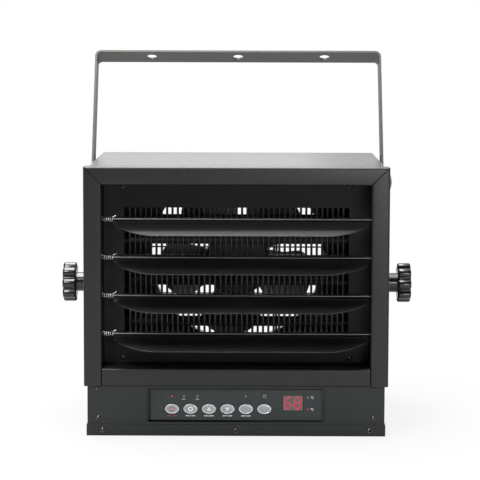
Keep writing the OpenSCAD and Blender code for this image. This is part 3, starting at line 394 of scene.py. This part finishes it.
class Grower:
    """A geometry tree with named inputs, which ends in Realize Instances and Set Material."""

    def __init__(self, name, **inputs):
        self.group = bpy.data.node_groups.new(name, "GeometryNodeTree")
        sockets = {"float": "NodeSocketFloat", "int": "NodeSocketInt", "Material": "NodeSocketMaterial"}
        self.group.interface.new_socket("Geometry", in_out="INPUT", socket_type="NodeSocketGeometry")
        for key, value in inputs.items():
            self.group.interface.new_socket(key, in_out="INPUT", socket_type=sockets[type(value).__name__])
        self.group.interface.new_socket("Geometry", in_out="OUTPUT", socket_type="NodeSocketGeometry")
        self.inputs = inputs
        self.tree = Tree(self.group)
        self.entry = self.group.nodes.new("NodeGroupInput")

    def __getitem__(self, key):
        return Value(self.tree, self.entry.outputs[key])

    def add(self, kind, settings=None, sockets=None, out=0):
        return self.tree.add(kind, settings, sockets, out)

    def vector(self, x=0.0, y=0.0, z=0.0):
        return self.add("ShaderNodeCombineXYZ", {}, {"X": x, "Y": y, "Z": z})

    def moved(self, geometry, offset, rotation=(0.0, 0.0, 0.0)):
        return self.add("GeometryNodeTransform", {},
                        {"Geometry": geometry, "Translation": offset, "Rotation": rotation})

    def join(self, *parts):
        return self.add("GeometryNodeJoinGeometry", {}, {"Geometry": list(parts)})

    def end(self, geometry):
        whole = self.add("GeometryNodeRealizeInstances", {}, {"Geometry": geometry})
        painted = self.add("GeometryNodeSetMaterial", {}, {"Geometry": whole, "Material": self["material"]})
        self.add("NodeGroupOutput", {}, {"Geometry": painted})

    def grow(self, name, points=((0.0, 0.0, 0.0),), facing=None):
        """Runs the tree on a few points and returns its result as an object with a plain mesh."""
        mesh = bpy.data.meshes.new(name)
        mesh.from_pydata([tuple(p) for p in points], [], [])
        if facing:
            direction = mesh.attributes.new("facing", "FLOAT_VECTOR", "POINT")
            direction.data.foreach_set("vector", [c for f in facing for c in f])
        piece = bpy.data.objects.new(name, mesh)
        bpy.context.scene.collection.objects.link(piece)
        modifier = piece.modifiers.new("grow", "NODES")
        modifier.node_group = self.group
        for item in self.group.interface.items_tree:
            if item.in_out == "INPUT" and item.name in self.inputs:
                modifier[item.identifier] = self.inputs[item.name]
        bpy.context.view_layer.update()
        applied(piece)
        bpy.context.scene.collection.objects.unlink(piece)
        return piece


# ---- sheet metal, plastics and tubes ----

SHEET_EDGE = 0.25 * MM
FRAME_EDGE = 0.45 * MM
BLADE_EDGE = 0.28 * MM
BEZEL_EDGE = 0.30 * MM
GLAND_EDGE = 0.40 * MM
PANEL_RECESS = 4.0 * MM
panel_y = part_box("control_plate")[0].y + PANEL_RECESS


def paint_recess(bezel):
    """The panel and the recess's right wall, which is lit, keep the satin foil; its other walls are painted
    near black as painted shade, the shade that falls inside the recess.
    """
    bezel.data.materials.append(finishes["painted_recess_shade"])
    for face in bezel.data.polygons:
        on_panel = face.normal.y < -0.99 and abs(face.center.y - panel_y) < 0.05 * MM
        # the lit right wall keeps the foil; the top, left and bottom walls take the painted shade
        right_wall = face.normal.x < -0.3 and face.normal.y < 0.0
        face.material_index = 0 if on_panel or right_wall else 1


for node in ("case_shell", "rear_panel", "bottom_pan", "control_plate", "inner_baffle", "bracket",
             "partition_shelf", "element_bracket_left", "element_bracket_right"):
    dress(node, SHEET_EDGE)
for node in ("frame_top_rail", "frame_left_stile", "frame_right_stile", "frame_bottom_rail"):
    dress(node, FRAME_EDGE)
for number in range(1, 5):
    dress(f"louver_blade_{number}", BLADE_EDGE)
    dress(f"louver_rod_{number}")
paint_recess(dress("control_bezel", BEZEL_EDGE))
dress("cable_gland", GLAND_EDGE)
for node in ("upper_elements", "lower_elements", "limit_thermostat", "motor", "motor_bracket", "rear_guard",
             "pivot_nuts", "pivot_spacers", "side_plug", "knob_washers", "knob_stud_left", "knob_stud_right",
             "motor_shaft"):
    dress(node)
# these keep their own mesh and normals
for node in ("fan", "control_board", "power_relays", "terminal_block"):
    nodes[node].data.materials.clear()
    nodes[node].data.materials.append(finishes[slot_of[node]])


# ---- guard in the warm air's mouth ----

def guard_tree(size):
    """Upright bars in a row, sunk a little into a frame of flat strips behind them."""
    g = Grower("guard_bars", count=41, pitch=6.55 * MM, diameter=2.9 * MM, length=size.z,
               strip_width=size.x, strip_height=6.0 * MM, strip_thickness=2.0 * MM, sink=0.5 * MM,
               material=finishes["guard_paint"])
    bar = g.add("GeometryNodeMeshCylinder", {},
                {"Vertices": 20, "Radius": g["diameter"] / 2.0, "Depth": g["length"]})
    line = g.add("GeometryNodeMeshLine", {},
                 {"Count": g["count"], "Start Location": g.vector((g["count"] - 1.0) * g["pitch"] / -2.0),
                  "Offset": g.vector(g["pitch"])})
    bars = g.add("GeometryNodeInstanceOnPoints", {}, {"Points": line, "Instance": bar})
    across = g.add("GeometryNodeMeshCube", {},
                   {"Size": g.vector(g["strip_width"], g["strip_thickness"], g["strip_height"])})
    behind = (g["diameter"] + g["strip_thickness"]) / 2.0 - g["sink"]
    bar_end = 1.0 * MM                  # how far the bars run past the frame of strips
    reach = (g["length"] - g["strip_height"]) / 2.0 - bar_end
    upper = g.moved(across, g.vector(0.0, behind, reach))
    lower = g.moved(across, g.vector(0.0, behind, reach * -1.0))
    side_trim = 1.5 * MM                # the upright strips are narrower by this much
    side_width = g["strip_height"] - side_trim
    upright = g.add("GeometryNodeMeshCube", {},
                    {"Size": g.vector(side_width, g["strip_thickness"], g["length"] - 2.0 * bar_end)})
    side = (g["strip_width"] - side_width) / 2.0
    right = g.moved(upright, g.vector(side, behind, 0.0))
    left = g.moved(upright, g.vector(side * -1.0, behind, 0.0))
    g.end(g.join(bars, upper, lower, right, left))
    return g


def guard():
    low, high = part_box("guard_grille")
    bars = guard_tree(high - low)
    middle = Vector(((low.x + high.x) / 2, low.y + bars.inputs["diameter"] / 2, (low.z + high.z) / 2))
    piece = bars.grow("guard_bars")
    piece.data.transform(Matrix.Translation(middle))
    shade(piece.data)
    link(piece, "case", "guard_paint")
    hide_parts("guard_grille")


guard()


# ---- star knobs ----

def knob_radius(angle, reach, core):
    """Outline of a star knob: eight round lobes that run smoothly into a round core."""
    lobe = reach / 4
    out = reach - lobe
    pitch = 360.0 / 8
    off = abs((angle + pitch / 2) % pitch - pitch / 2)
    side = out * math.sin(math.radians(off))
    tip = out * math.cos(math.radians(off)) + math.sqrt(max(0.0, lobe * lobe - side * side))
    blend = 1.2 * MM
    return (tip + core + math.sqrt((tip - core) ** 2 + blend ** 2)) / 2 - blend / 8


def star_knob(side, way):
    """The head with its rounded edges and sunk face, and its hub with the stud's bore.

    It is a row of rings along the axis, from the bottom of the bore round the outside to the sunk face;
    way is the side of the X axis that the head points to.
    """
    node = f"knob_{side}"
    low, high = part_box(node)
    middle = (low + high) / 2
    foot = low.x if way > 0 else high.x
    reach = (high.z - low.z) / 2
    length = high.x - low.x
    hub_length = 12.5 * MM
    hub = 12.25 * MM
    bore = 4.0 * MM
    bore_depth = 11.5 * MM
    core = reach * 0.78
    sunk = reach * 0.42
    sunk_depth = 1.2 * MM
    draft = 0.3 * MM
    chamfer = 0.4 * MM
    edge = 2.6 * MM
    steps = 6
    sides = 192

    def turned(radius, along):
        """A round ring: its radius and its place on the axis."""
        return along, lambda angle: radius

    def lobed(inset, along):
        """A ring along the star's outline, drawn in by inset."""
        return along, lambda angle: knob_radius(angle, reach, core) - inset

    rounding = [(edge * (1 - math.cos(t)), edge * (1 - math.sin(t)))
                for t in (math.radians(90.0 * i / steps) for i in range(steps + 1))]
    loops = [turned(bore, bore_depth), turned(bore, 0.0), turned(hub - chamfer, 0.0), turned(hub, chamfer),
             turned(hub, hub_length)]
    loops += [lobed(inset, hub_length + drop) for inset, drop in rounding[::-1]]
    loops += [lobed(inset, length - drop) for inset, drop in rounding]
    loops += [turned(sunk + chamfer, length), turned(sunk, length - chamfer),
              turned(sunk - draft, length - sunk_depth)]
    work = bmesh.new()
    rings = []
    for along, radius in loops:
        ring = []
        for i in range(sides):
            angle = math.radians(360.0 * i / sides)
            r = radius(360.0 * i / sides)
            ring.append(work.verts.new((foot + way * along, middle.y + r * math.cos(angle),
                                        middle.z + r * math.sin(angle))))
        rings.append(ring)
    work.faces.new(rings[0])
    work.faces.new(rings[-1][::-1])
    for first, second in zip(rings, rings[1:]):
        for i in range(sides):
            j = (i + 1) % sides
            work.faces.new((first[j], first[i], second[i], second[j]))
    bmesh.ops.recalc_face_normals(work, faces=work.faces)
    mesh = bpy.data.meshes.new(node + "_moulded")
    work.to_mesh(mesh)
    work.free()
    mesh.materials.append(finishes["knob_plastic"])
    shade(mesh, MOULDED_SHARP)
    piece = link(bpy.data.objects.new(node + "_moulded", mesh), body_of[node], "knob_plastic")
    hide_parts(node)


star_knob("left", -1.0)
star_knob("right", 1.0)


# ---- louver springs ----

def spring_tree():
    """A coil along X with a straight tail that leaves its far end."""
    g = Grower("spring_wire", turns=5.0, coil=5.6 * MM, wire=0.9 * MM, length=12.5 * MM, tail=4.0 * MM,
               tail_rise=1.8 * MM, material=finishes["spring_steel"])
    radius = g["coil"] / 2.0
    coil = g.add("GeometryNodeCurveSpiral", {},
                 {"Resolution": 28, "Rotations": g["turns"], "Start Radius": radius, "End Radius": radius,
                  "Height": g["length"]})
    x, y, z = g.tree.axes(g.add("GeometryNodeInputPosition"))
    turned = g.vector(z, y * -1.0, x)
    lying = g.add("GeometryNodeSetPosition", {}, {"Geometry": coil, "Position": turned})
    tail = g.add("GeometryNodeCurvePrimitiveLine", {},
                 {"Start": g.vector(g["length"], 0.0, radius),
                  "End": g.vector(g["length"] + g["tail"], 0.0, radius + g["tail_rise"])})
    ring = g.add("GeometryNodeCurvePrimitiveCircle", {}, {"Resolution": 10, "Radius": g["wire"] / 2.0})
    g.end(g.add("GeometryNodeCurveToMesh", {},
                {"Curve": g.join(lying, tail), "Profile Curve": ring, "Fill Caps": True}))
    return g


def sleeve(number, start, wire):
    """A dark bush that fills the inside of the spring and hides the coil's far strands: a dark piece standing
    for the shade inside the coil.
    """
    play = 0.1 * MM
    radius = wire.inputs["coil"] / 2 - wire.inputs["wire"] / 2 - play
    length = wire.inputs["length"]
    work = bmesh.new()
    turned = Matrix.Rotation(math.radians(90.0), 4, "Y")
    place = Matrix.Translation(start + Vector((length / 2, 0.0, 0.0)))
    bmesh.ops.create_cone(work, cap_ends=True, segments=40, radius1=radius, radius2=radius, depth=length,
                          matrix=place @ turned)
    mesh = bpy.data.meshes.new(f"spring_shade_bush_{number}")
    work.to_mesh(mesh)
    work.free()
    mesh.materials.append(finishes["inner_paint"])
    shade(mesh)
    link(bpy.data.objects.new(f"spring_shade_bush_{number}", mesh), body_of[f"louver_rod_{number}"], "inner_paint")


def springs():
    wire = spring_tree()
    across = wire.inputs["coil"] + wire.inputs["wire"]
    for number in range(1, 5):
        node = f"louver_spring_{number}"
        low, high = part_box(node)
        start = Vector((low.x + wire.inputs["wire"] / 2, (low.y + high.y) / 2, low.z + across / 2))
        piece = wire.grow(f"spring_{number}")
        piece.data.transform(Matrix.Translation(start))
        shade(piece.data, WIRE_SHARP)
        link(piece, body_of[node], "spring_steel")
        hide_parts(node)
        sleeve(number, start, wire)


springs()


# ---- screws ----

def screw_tree():
    """Pan heads with a cross recess, one on each point, turned to face its way."""
    g = Grower("cross_screws", head=7.0 * MM, height=2.0 * MM, shank=3.5 * MM, shank_length=4.0 * MM,
               slot_length=4.1 * MM, slot_width=1.0 * MM, slot_depth=1.3 * MM,
               material=finishes["screw_black"])
    dome_radius = g["head"] * 0.62
    disc = g.moved(g.add("GeometryNodeMeshCylinder", {},
                         {"Vertices": 32, "Radius": g["head"] / 2.0, "Depth": g["height"]}),
                   g.vector(0.0, 0.0, g["height"] / 2.0))
    dome = g.moved(g.add("GeometryNodeMeshUVSphere", {},
                         {"Segments": 48, "Rings": 48, "Radius": dome_radius}),
                   g.vector(0.0, 0.0, g["height"] - dome_radius))
    head = g.add("GeometryNodeMeshBoolean", {"operation": "INTERSECT"}, {"Mesh 2": [disc, dome]})
    slot = g.add("GeometryNodeMeshCube", {},
                 {"Size": g.vector(g["slot_length"], g["slot_width"], g["slot_depth"] * 2.0)})
    top = g.vector(0.0, 0.0, g["height"])
    quarter = (0.0, 0.0, math.radians(90.0))
    cut = g.add("GeometryNodeMeshBoolean", {"operation": "DIFFERENCE"},
                {"Mesh 1": head, "Mesh 2": [g.moved(slot, top), g.moved(slot, top, quarter)]})
    shank = g.moved(g.add("GeometryNodeMeshCylinder", {},
                          {"Vertices": 20, "Radius": g["shank"] / 2.0, "Depth": g["shank_length"]}),
                    g.vector(0.0, 0.0, g["shank_length"] / -2.0))
    facing = g.add("GeometryNodeInputNamedAttribute", {"data_type": "FLOAT_VECTOR"}, {"Name": "facing"})
    turn = g.add("FunctionNodeAlignRotationToVector", {"axis": "Z"}, {"Vector": facing})
    most = 1.5                          # radians, just under a quarter turn
    spin = g.add("FunctionNodeRandomValue", {"data_type": "FLOAT"}, {2: 0.0, 3: most, "Seed": 7}, out=1)
    spun = g.add("FunctionNodeRotateRotation", {"rotation_space": "LOCAL"},
                 {"Rotation": turn, "Rotate By": g.vector(0.0, 0.0, spin)})
    g.end(g.add("GeometryNodeInstanceOnPoints", {},
                {"Points": g["Geometry"], "Instance": g.join(cut, shank), "Rotation": spun}))
    return g


def screws():
    heads = screw_tree()
    shank_length = heads.inputs["shank_length"]
    for node in ("plate_screws", "base_screws", "baffle_screws", "rear_screws"):
        seats = []
        ways = []
        for low, high in islands(node):
            size = high - low
            axis = min(range(3), key=lambda i: size[i])
            centre = (low + high) / 2
            sign = 1.0 if centre[axis] > 0 else -1.0
            way = Vector([sign if i == axis else 0.0 for i in range(3)])
            seats.append(centre + way * (shank_length - size[axis] / 2))
            ways.append(way)
        piece = heads.grow(node + "_crossed", seats, ways)
        shade(piece.data)
        link(piece, "case", "screw_black")
        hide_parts(node)


screws()


# ---- flat shapes that face the front ----

class Front:
    """Gathers closed bodies whose outlines are drawn as (x, z) seen from the front.

    paints lists the names of their finishes, and a body's paint is its place in that list.
    """

    def __init__(self, *paints):
        self.work = bmesh.new()
        self.paints = paints

    def prism(self, outline, front, back, paint=0, rise=0.0):
        """A plate between the depths front and back; rise shrinks its front edge by that much."""
        count = len(outline)
        middle = Vector((sum(x for x, _ in outline) / count, sum(z for _, z in outline) / count))
        near = []
        for x, z in outline:
            inward = middle - Vector((x, z))
            step = inward.normalized() * rise if rise else Vector((0.0, 0.0))
            near.append(self.work.verts.new((x + step.x, front, z + step.y)))
        far = [self.work.verts.new((x, back, z)) for x, z in outline]
        faces = [self.work.faces.new(near), self.work.faces.new(far[::-1])]
        for i in range(count):
            j = (i + 1) % count
            faces.append(self.work.faces.new((near[j], near[i], far[i], far[j])))
        for face in faces:
            face.material_index = paint

    def rings(self, centre, profile, sides=64):
        """A closed oval body; profile holds (half width, half height, depth, paint) from front to back."""
        loops = []
        for half_w, half_h, depth, _ in profile:
            loops.append([self.work.verts.new((centre.x + half_w * math.cos(2 * math.pi * i / sides), depth,
                                               centre.z + half_h * math.sin(2 * math.pi * i / sides)))
                          for i in range(sides)])
        self.work.faces.new(loops[0]).material_index = profile[0][3]
        self.work.faces.new(loops[-1][::-1]).material_index = profile[-1][3]
        for k in range(len(loops) - 1):
            for i in range(sides):
                j = (i + 1) % sides
                face = self.work.faces.new((loops[k][j], loops[k][i], loops[k + 1][i], loops[k + 1][j]))
                face.material_index = profile[k + 1][3]

    def finish(self, name, body, slot, sharp=SHARP, stands_for=None):
        """Makes one piece of all the bodies; it may stand for a CAD node."""
        bmesh.ops.recalc_face_normals(self.work, faces=self.work.faces)
        mesh = bpy.data.meshes.new(name)
        self.work.to_mesh(mesh)
        self.work.free()
        for paint in self.paints:
            mesh.materials.append(finishes[paint])
        shade(mesh, sharp)
        piece = link(bpy.data.objects.new(name, mesh), body, slot)
        if stands_for:
            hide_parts(stands_for)


def box_outline(low_x, low_z, high_x, high_z):
    return [(low_x, low_z), (high_x, low_z), (high_x, high_z), (low_x, high_z)]


def arc(x, z, radius, start, end, steps=28):
    """Points of an arc; the angles are in degrees from the right, and grow upwards."""
    angles = [math.radians(start + (end - start) * i / steps) for i in range(steps + 1)]
    return [(x + radius * math.cos(angle), z + radius * math.sin(angle)) for angle in angles]


def band(x, z, radius, width, start=0.0, end=359.0):
    """Outline of a stroke of that width along an arc."""
    return arc(x, z, radius + width / 2, start, end) + arc(x, z, radius - width / 2, end, start)


def bar(x0, z0, x1, z1, width):
    """Outline of a straight stroke."""
    along = Vector((x1 - x0, z1 - z0)).normalized() * (width / 2)
    return [(x0 - along.y, z0 + along.x), (x0 + along.y, z0 - along.x),
            (x1 + along.y, z1 - along.x), (x1 - along.y, z1 + along.x)]


def segment_strokes(x, z, width, height, stroke, slant):
    """The seven strokes of a numeral centred on (x, z), from the top one clockwise, the middle one last."""
    w = width / 2 - stroke / 2
    h = height / 2 - stroke / 2
    gap = stroke * 0.12
    ends = [((-w, h), (w, h)), ((w, h), (w, 0)), ((w, 0), (w, -h)), ((w, -h), (-w, -h)),
            ((-w, -h), (-w, 0)), ((-w, 0), (-w, h)), ((-w, 0), (w, 0))]
    shapes = []
    for (ax, az), (bx, bz) in ends:
        way = Vector((bx - ax, bz - az)).normalized()
        side = Vector((-way.y, way.x)) * (stroke / 2)
        a = Vector((ax, az)) + way * gap
        b = Vector((bx, bz)) - way * gap
        tip = way * (stroke / 2)
        corners = [a, a + tip + side, b - tip + side, b, b - tip - side, a + tip - side]
        shapes.append([(x + c.x + c.y * slant, z + c.y) for c in corners])
    return shapes


# which of those strokes make up a numeral
NUMERALS = {1: (1, 2), 2: (0, 1, 6, 4, 3), 3: (0, 1, 6, 2, 3), 4: (5, 6, 1, 2), 5: (0, 5, 6, 2, 3),
            6: (0, 5, 6, 2, 3, 4), 8: (0, 1, 2, 3, 4, 5, 6)}

PRINT = 0.03 * MM                       # how far a print stands off its ground


# ---- push buttons ----

def power_mark(x, z):
    return [band(x, z, 2.7 * MM, 0.9 * MM, 125.0, 415.0), bar(x, z + 0.8 * MM, x, z + 3.5 * MM, 0.9 * MM)]


def ring_mark(x, z):
    return [band(x, z, 2.3 * MM, 1.6 * MM)]


def arrow_mark(x, z, way):
    half_w = 2.9 * MM
    foot = z - way * 1.9 * MM
    return [[(x - half_w, foot), (x + half_w, foot), (x, z + way * 2.5 * MM)]]


def up_mark(x, z):
    return arrow_mark(x, z, 1.0)


def down_mark(x, z):
    return arrow_mark(x, z, -1.0)


def clock_mark(x, z):
    line = 0.3 * MM
    return [band(x, z, 2.1 * MM, line), bar(x, z, x, z + 1.4 * MM, line), bar(x, z, x + 1.0 * MM, z, line)]


def wave_mark(x, z):
    line = 0.3 * MM
    radius = 1.2 * MM
    return [band(x - radius, z, radius, line, 0.0, 180.0), band(x + radius, z, radius, line, 180.0, 360.0)]


def buttons():
    marks = [(power_mark, "red_ink"), (ring_mark, "white_ink"), (up_mark, "white_ink"),
             (down_mark, "white_ink"), (clock_mark, "button_plastic"), (wave_mark, "button_plastic")]
    for number, (mark, paint) in enumerate(marks, 1):
        node = f"button_{number}"
        low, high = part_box(node)
        centre = (low + high) / 2
        flange = 1.0 * MM
        half_w = (high.x - low.x) / 2 - flange
        half_h = (high.z - low.z) / 2 - flange
        top = low.y
        foot = panel_y + 1.9 * MM       # where the flange starts, behind the panel
        stem = 2.0 * MM

        def level(inset, depth, part):
            return (half_w - inset, half_h - inset, depth, part)

        face = top + 0.20 * MM
        body = Front("button_plastic", "button_rim", paint)
        body.rings(centre, [
            level(5.0 * MM, face, 0), level(2.6 * MM, top + 0.30 * MM, 0),
            level(1.75 * MM, top + 0.50 * MM, 0), level(1.5 * MM, top + 0.50 * MM, 0),
            level(1.35 * MM, top + 0.22 * MM, 1), level(1.05 * MM, top + 0.02 * MM, 1),
            level(0.75 * MM, top, 1), level(0.35 * MM, top + 0.12 * MM, 1),
            level(0.08 * MM, top + 0.45 * MM, 1), level(0.0, top + 0.8 * MM, 1),
            level(0.0, foot, 0), level(-flange, foot, 0), level(-flange, foot + flange, 0),
            (stem, stem, foot + flange, 0), (stem, stem, high.y, 0)])
        for outline in mark(centre.x, centre.z):
            body.prism(outline, face - PRINT, top + 0.6 * MM, 2)
        body.finish(f"{node}_cap", body_of[node], "button_plastic", MOULDED_SHARP, node)


buttons()


# ---- display, lamps and print on the panel ----

def display():
    low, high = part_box("display_module")
    lens = Front("display_plastic", "lit_red", "dim_segment")
    lens.prism(box_outline(low.x, low.z, high.x, high.z), low.y, high.y, 0, 0.4 * MM)
    middle = (low + high) / 2
    digit_h = 16.6 * MM
    digit_w = 10.2 * MM
    stroke = 3.0 * MM
    slant = math.tan(math.radians(5.0))
    dot_radius = 0.7 * MM
    front = low.y - PRINT
    back = low.y + 0.3 * MM
    for value, shift in ((6, -6.0 * MM), (8, 5.5 * MM)):
        x = middle.x + shift
        strokes = segment_strokes(x, middle.z, digit_w, digit_h, stroke, slant)
        for k, outline in enumerate(strokes):
            lens.prism(outline, front, back, 1 if k in NUMERALS[value] else 2)
        dot = arc(x + 5.9 * MM, middle.z - digit_h / 2 + 0.9 * MM, dot_radius, 0.0, 345.0, 23)
        lens.prism(dot, front, back, 2)
    lens.finish("display_lens", "case", "display_plastic", SHARP, "display_module")


def receiver():
    low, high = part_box("receiver_window")
    middle = (low + high) / 2
    glass = Front("receiver_tint")
    glass.prism(box_outline(low.x, low.z, high.x, high.z), low.y + 0.15 * MM, high.y, 0, 0.5 * MM)
    dome = [(1.0 * MM, 0.0), (1.8 * MM, 0.05 * MM), (2.5 * MM, 0.2 * MM), (2.5 * MM, 1.0 * MM)]
    glass.rings(middle, [(radius, radius, low.y + sunk, 0) for radius, sunk in dome], 40)
    glass.finish("receiver_glass", "case", "display_plastic", SHARP, "receiver_window")


def lamps():
    """Domed lamps; the leftmost and the lowest are lit."""
    lit = Front("lit_red")
    dark = Front("lamp_plastic")
    dome_rise = 0.75 * MM
    places = islands("indicator_lamps")
    lowest = min(places, key=lambda box: box[0].z)
    for box_low, box_high in places:
        middle = (box_low + box_high) / 2
        radius = (box_high.x - box_low.x) / 2
        body = lit if (box_low, box_high) in (places[0], lowest) else dark
        slopes = [math.radians(angle) for angle in (12, 30, 48, 66, 84)]
        dome = [(radius * math.sin(a), box_low.y + dome_rise * (1 - math.cos(a))) for a in slopes]
        dome += [(radius, dome[-1][1] + 0.2 * MM), (radius, box_high.y)]
        body.rings(middle, [(r, r, y, 0) for r, y in dome], 32)
    lit.finish("lit_lamps", "case", "lamp_plastic", MOULDED_SHARP, "indicator_lamps")
    dark.finish("dark_lamps", "case", "lamp_plastic", MOULDED_SHARP, "indicator_lamps")


def panel_print():
    """Plain numerals with dashes under the buttons, ticks under the lamps, rings beside the display."""
    sheet = Front("white_ink", "red_ink", "grey_ink")
    white, red, pale = range(3)
    numeral_h = 2.8 * MM
    numeral_w = numeral_h * 0.6
    stroke = numeral_h * 0.17
    slant = 0.08
    dash_length = 1.7 * MM
    dash_width = 1.3 * MM
    tick_length = 1.0 * MM
    tick_width = 1.1 * MM

    def printed(outline, paint):
        sheet.prism(outline, panel_y - PRINT, panel_y + 0.2 * MM, paint)

    for number in range(1, 6):
        low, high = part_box(f"button_{number}")
        x = (low.x + high.x) / 2
        z = low.z - 1.5 * MM
        paint = red if number == 1 else white
        strokes = segment_strokes(x, z, numeral_w, numeral_h, stroke, slant)
        for k in sorted(NUMERALS[number]):
            printed(strokes[k], paint)
        for side in (-1, 1):
            for start in (1.7 * MM, 4.0 * MM):
                end = start + dash_length
                printed(bar(x + side * start, z, x + side * end, z, dash_width), paint)
    lamp_boxes = islands("indicator_lamps")
    for low, high in lamp_boxes[1:3]:
        x = (low.x + high.x) / 2
        z = low.z - 2.2 * MM
        for shift in (-2.2 * MM, -0.7 * MM, 0.8 * MM):
            printed(bar(x + shift, z, x + shift + tick_length, z, tick_width), pale)
    for low, high in lamp_boxes[-2:]:
        x = high.x + 4.0 * MM
        z = (low.z + high.z) / 2
        printed(band(x - 1.6 * MM, z + 1.0 * MM, 0.5 * MM, 0.35 * MM), white)
        printed(band(x + 0.6 * MM, z, 1.3 * MM, 0.45 * MM, 45.0, 315.0), white)
    sheet.finish("panel_print", "case", "panel_plastic")


display()
receiver()
lamps()
panel_print()


# ---- stage, light and camera ----

def backdrop_rays(tree, mirrored):
    """1 for the rays that see the pale background, mirrored for glossy ones, 0 for those that light."""
    path = tree.add("ShaderNodeLightPath").socket.node.outputs
    seen = Value(tree, path["Is Camera Ray"]).largest(Value(tree, path["Is Transmission Ray"]))
    return seen.largest(Value(tree, path["Is Glossy Ray"]) * mirrored)


def floor():
    """White to the camera, with the object's shadow near it; as light it is a mid grey."""
    size = 9.0
    drop = 0.2 * MM
    corners = [(-size, -size, -drop), (size, -size, -drop), (size, size, -drop), (-size, size, -drop)]
    mesh = bpy.data.meshes.new("floor")
    mesh.from_pydata(corners, [], [(0, 1, 2, 3)])
    paint = bpy.data.materials.new("floor")
    paint.use_nodes = True
    paint.node_tree.nodes.clear()
    tree = Tree(paint.node_tree)
    distance = tree.add("ShaderNodeVectorMath", {"operation": "LENGTH"}, {0: tree.place()}, out="Value")
    far = distance.step(0.30, 0.70)
    near_cover = 0.86                   # the rest of the ground near the object shows its shadow
    lit = tree.add("ShaderNodeBsdfDiffuse", {}, {"Color": grey(0.50)})
    white = tree.add("ShaderNodeEmission", {}, {"Color": grey(1.0), "Strength": 1.0})
    cover = backdrop_rays(tree, mirrored=0.28) * (far * (1.0 - near_cover) + near_cover)
    tree.add("ShaderNodeOutputMaterial", {},
             {"Surface": tree.add("ShaderNodeMixShader", {}, {0: cover, 1: lit, 2: white})})
    mesh.materials.append(paint)
    piece = bpy.data.objects.new("floor", mesh)
    bpy.context.scene.collection.objects.link(piece)


def world():
    """White where it is seen; as light it is strong behind the object and weak in front of it."""
    sky = bpy.data.worlds.new("studio")
    bpy.context.scene.world = sky
    sky.use_nodes = True
    sky.node_tree.nodes.clear()
    tree = Tree(sky.node_tree)
    _, depth, _ = tree.axes(tree.add("ShaderNodeTexCoord", out="Generated"))
    back = depth.step(-0.35, 0.25)
    in_front = 0.06
    more_behind = 0.70
    level = in_front + more_behind * back
    seen = backdrop_rays(tree, mirrored=back)
    strength = level * (1.0 - seen) + seen
    shine = tree.add("ShaderNodeBackground", {}, {"Color": grey(1.0), "Strength": strength})
    tree.add("ShaderNodeOutputWorld", {}, {"Surface": shine})


def softbox(name, place, target, width, height, power):
    lamp = bpy.data.lights.new(name, "AREA")
    lamp.shape = "RECTANGLE"
    lamp.size = width
    lamp.size_y = height
    lamp.energy = power
    light = bpy.data.objects.new(name, lamp)
    light.location = place
    light.rotation_euler = (Vector(target) - Vector(place)).to_track_quat("-Z", "Y").to_euler()
    bpy.context.scene.collection.objects.link(light)


def camera():
    """The photograph's view: its focal length in pixels of a 480-pixel frame, and its three turns."""
    focal_px = 2098.4
    frame_px = 480.0
    yaw, pitch, roll = 0.0039, -0.1045, 0.0030
    lens = bpy.data.cameras.new("camera")
    lens.sensor_width = 36.0
    lens.lens = focal_px / frame_px * lens.sensor_width
    lens.clip_end = 50.0
    eye = bpy.data.objects.new("camera", lens)
    turn = Matrix.Rotation(yaw, 3, "Z") @ Matrix.Rotation(pitch, 3, "X")
    place = (0.01407, -2.6459, 0.5019)
    right, forward, up = (turn.col[i].copy() for i in range(3))
    tilted_right = right * math.cos(roll) + up * math.sin(roll)
    tilted_up = up * math.cos(roll) - right * math.sin(roll)
    basis = Matrix((tilted_right, tilted_up, -forward)).transposed()
    eye.matrix_world = Matrix.Translation(place) @ basis.to_4x4()
    bpy.context.scene.collection.objects.link(eye)
    bpy.context.scene.camera = eye


floor()
world()
softbox("overhead_light", place=(-0.15, 0.05, 1.70), target=(0.0, 0.05, 0.2), width=1.6, height=0.9,
        power=60.0)
softbox("key_light", place=(-0.70, -1.75, 1.50), target=(0.0, -0.14, 0.15), width=0.5, height=0.5,
        power=20.0)
softbox("right_panel", place=(0.60, -2.75, 0.46), target=(0.12, -0.14, 0.28), width=0.5, height=0.4,
        power=10.0)
softbox("rim_light", place=(-0.70, 1.80, 1.05), target=(0.0, 0.0, 0.3), width=2.0, height=0.8, power=6.2)
camera()
bpy.context.scene.view_settings.view_transform = "Standard"
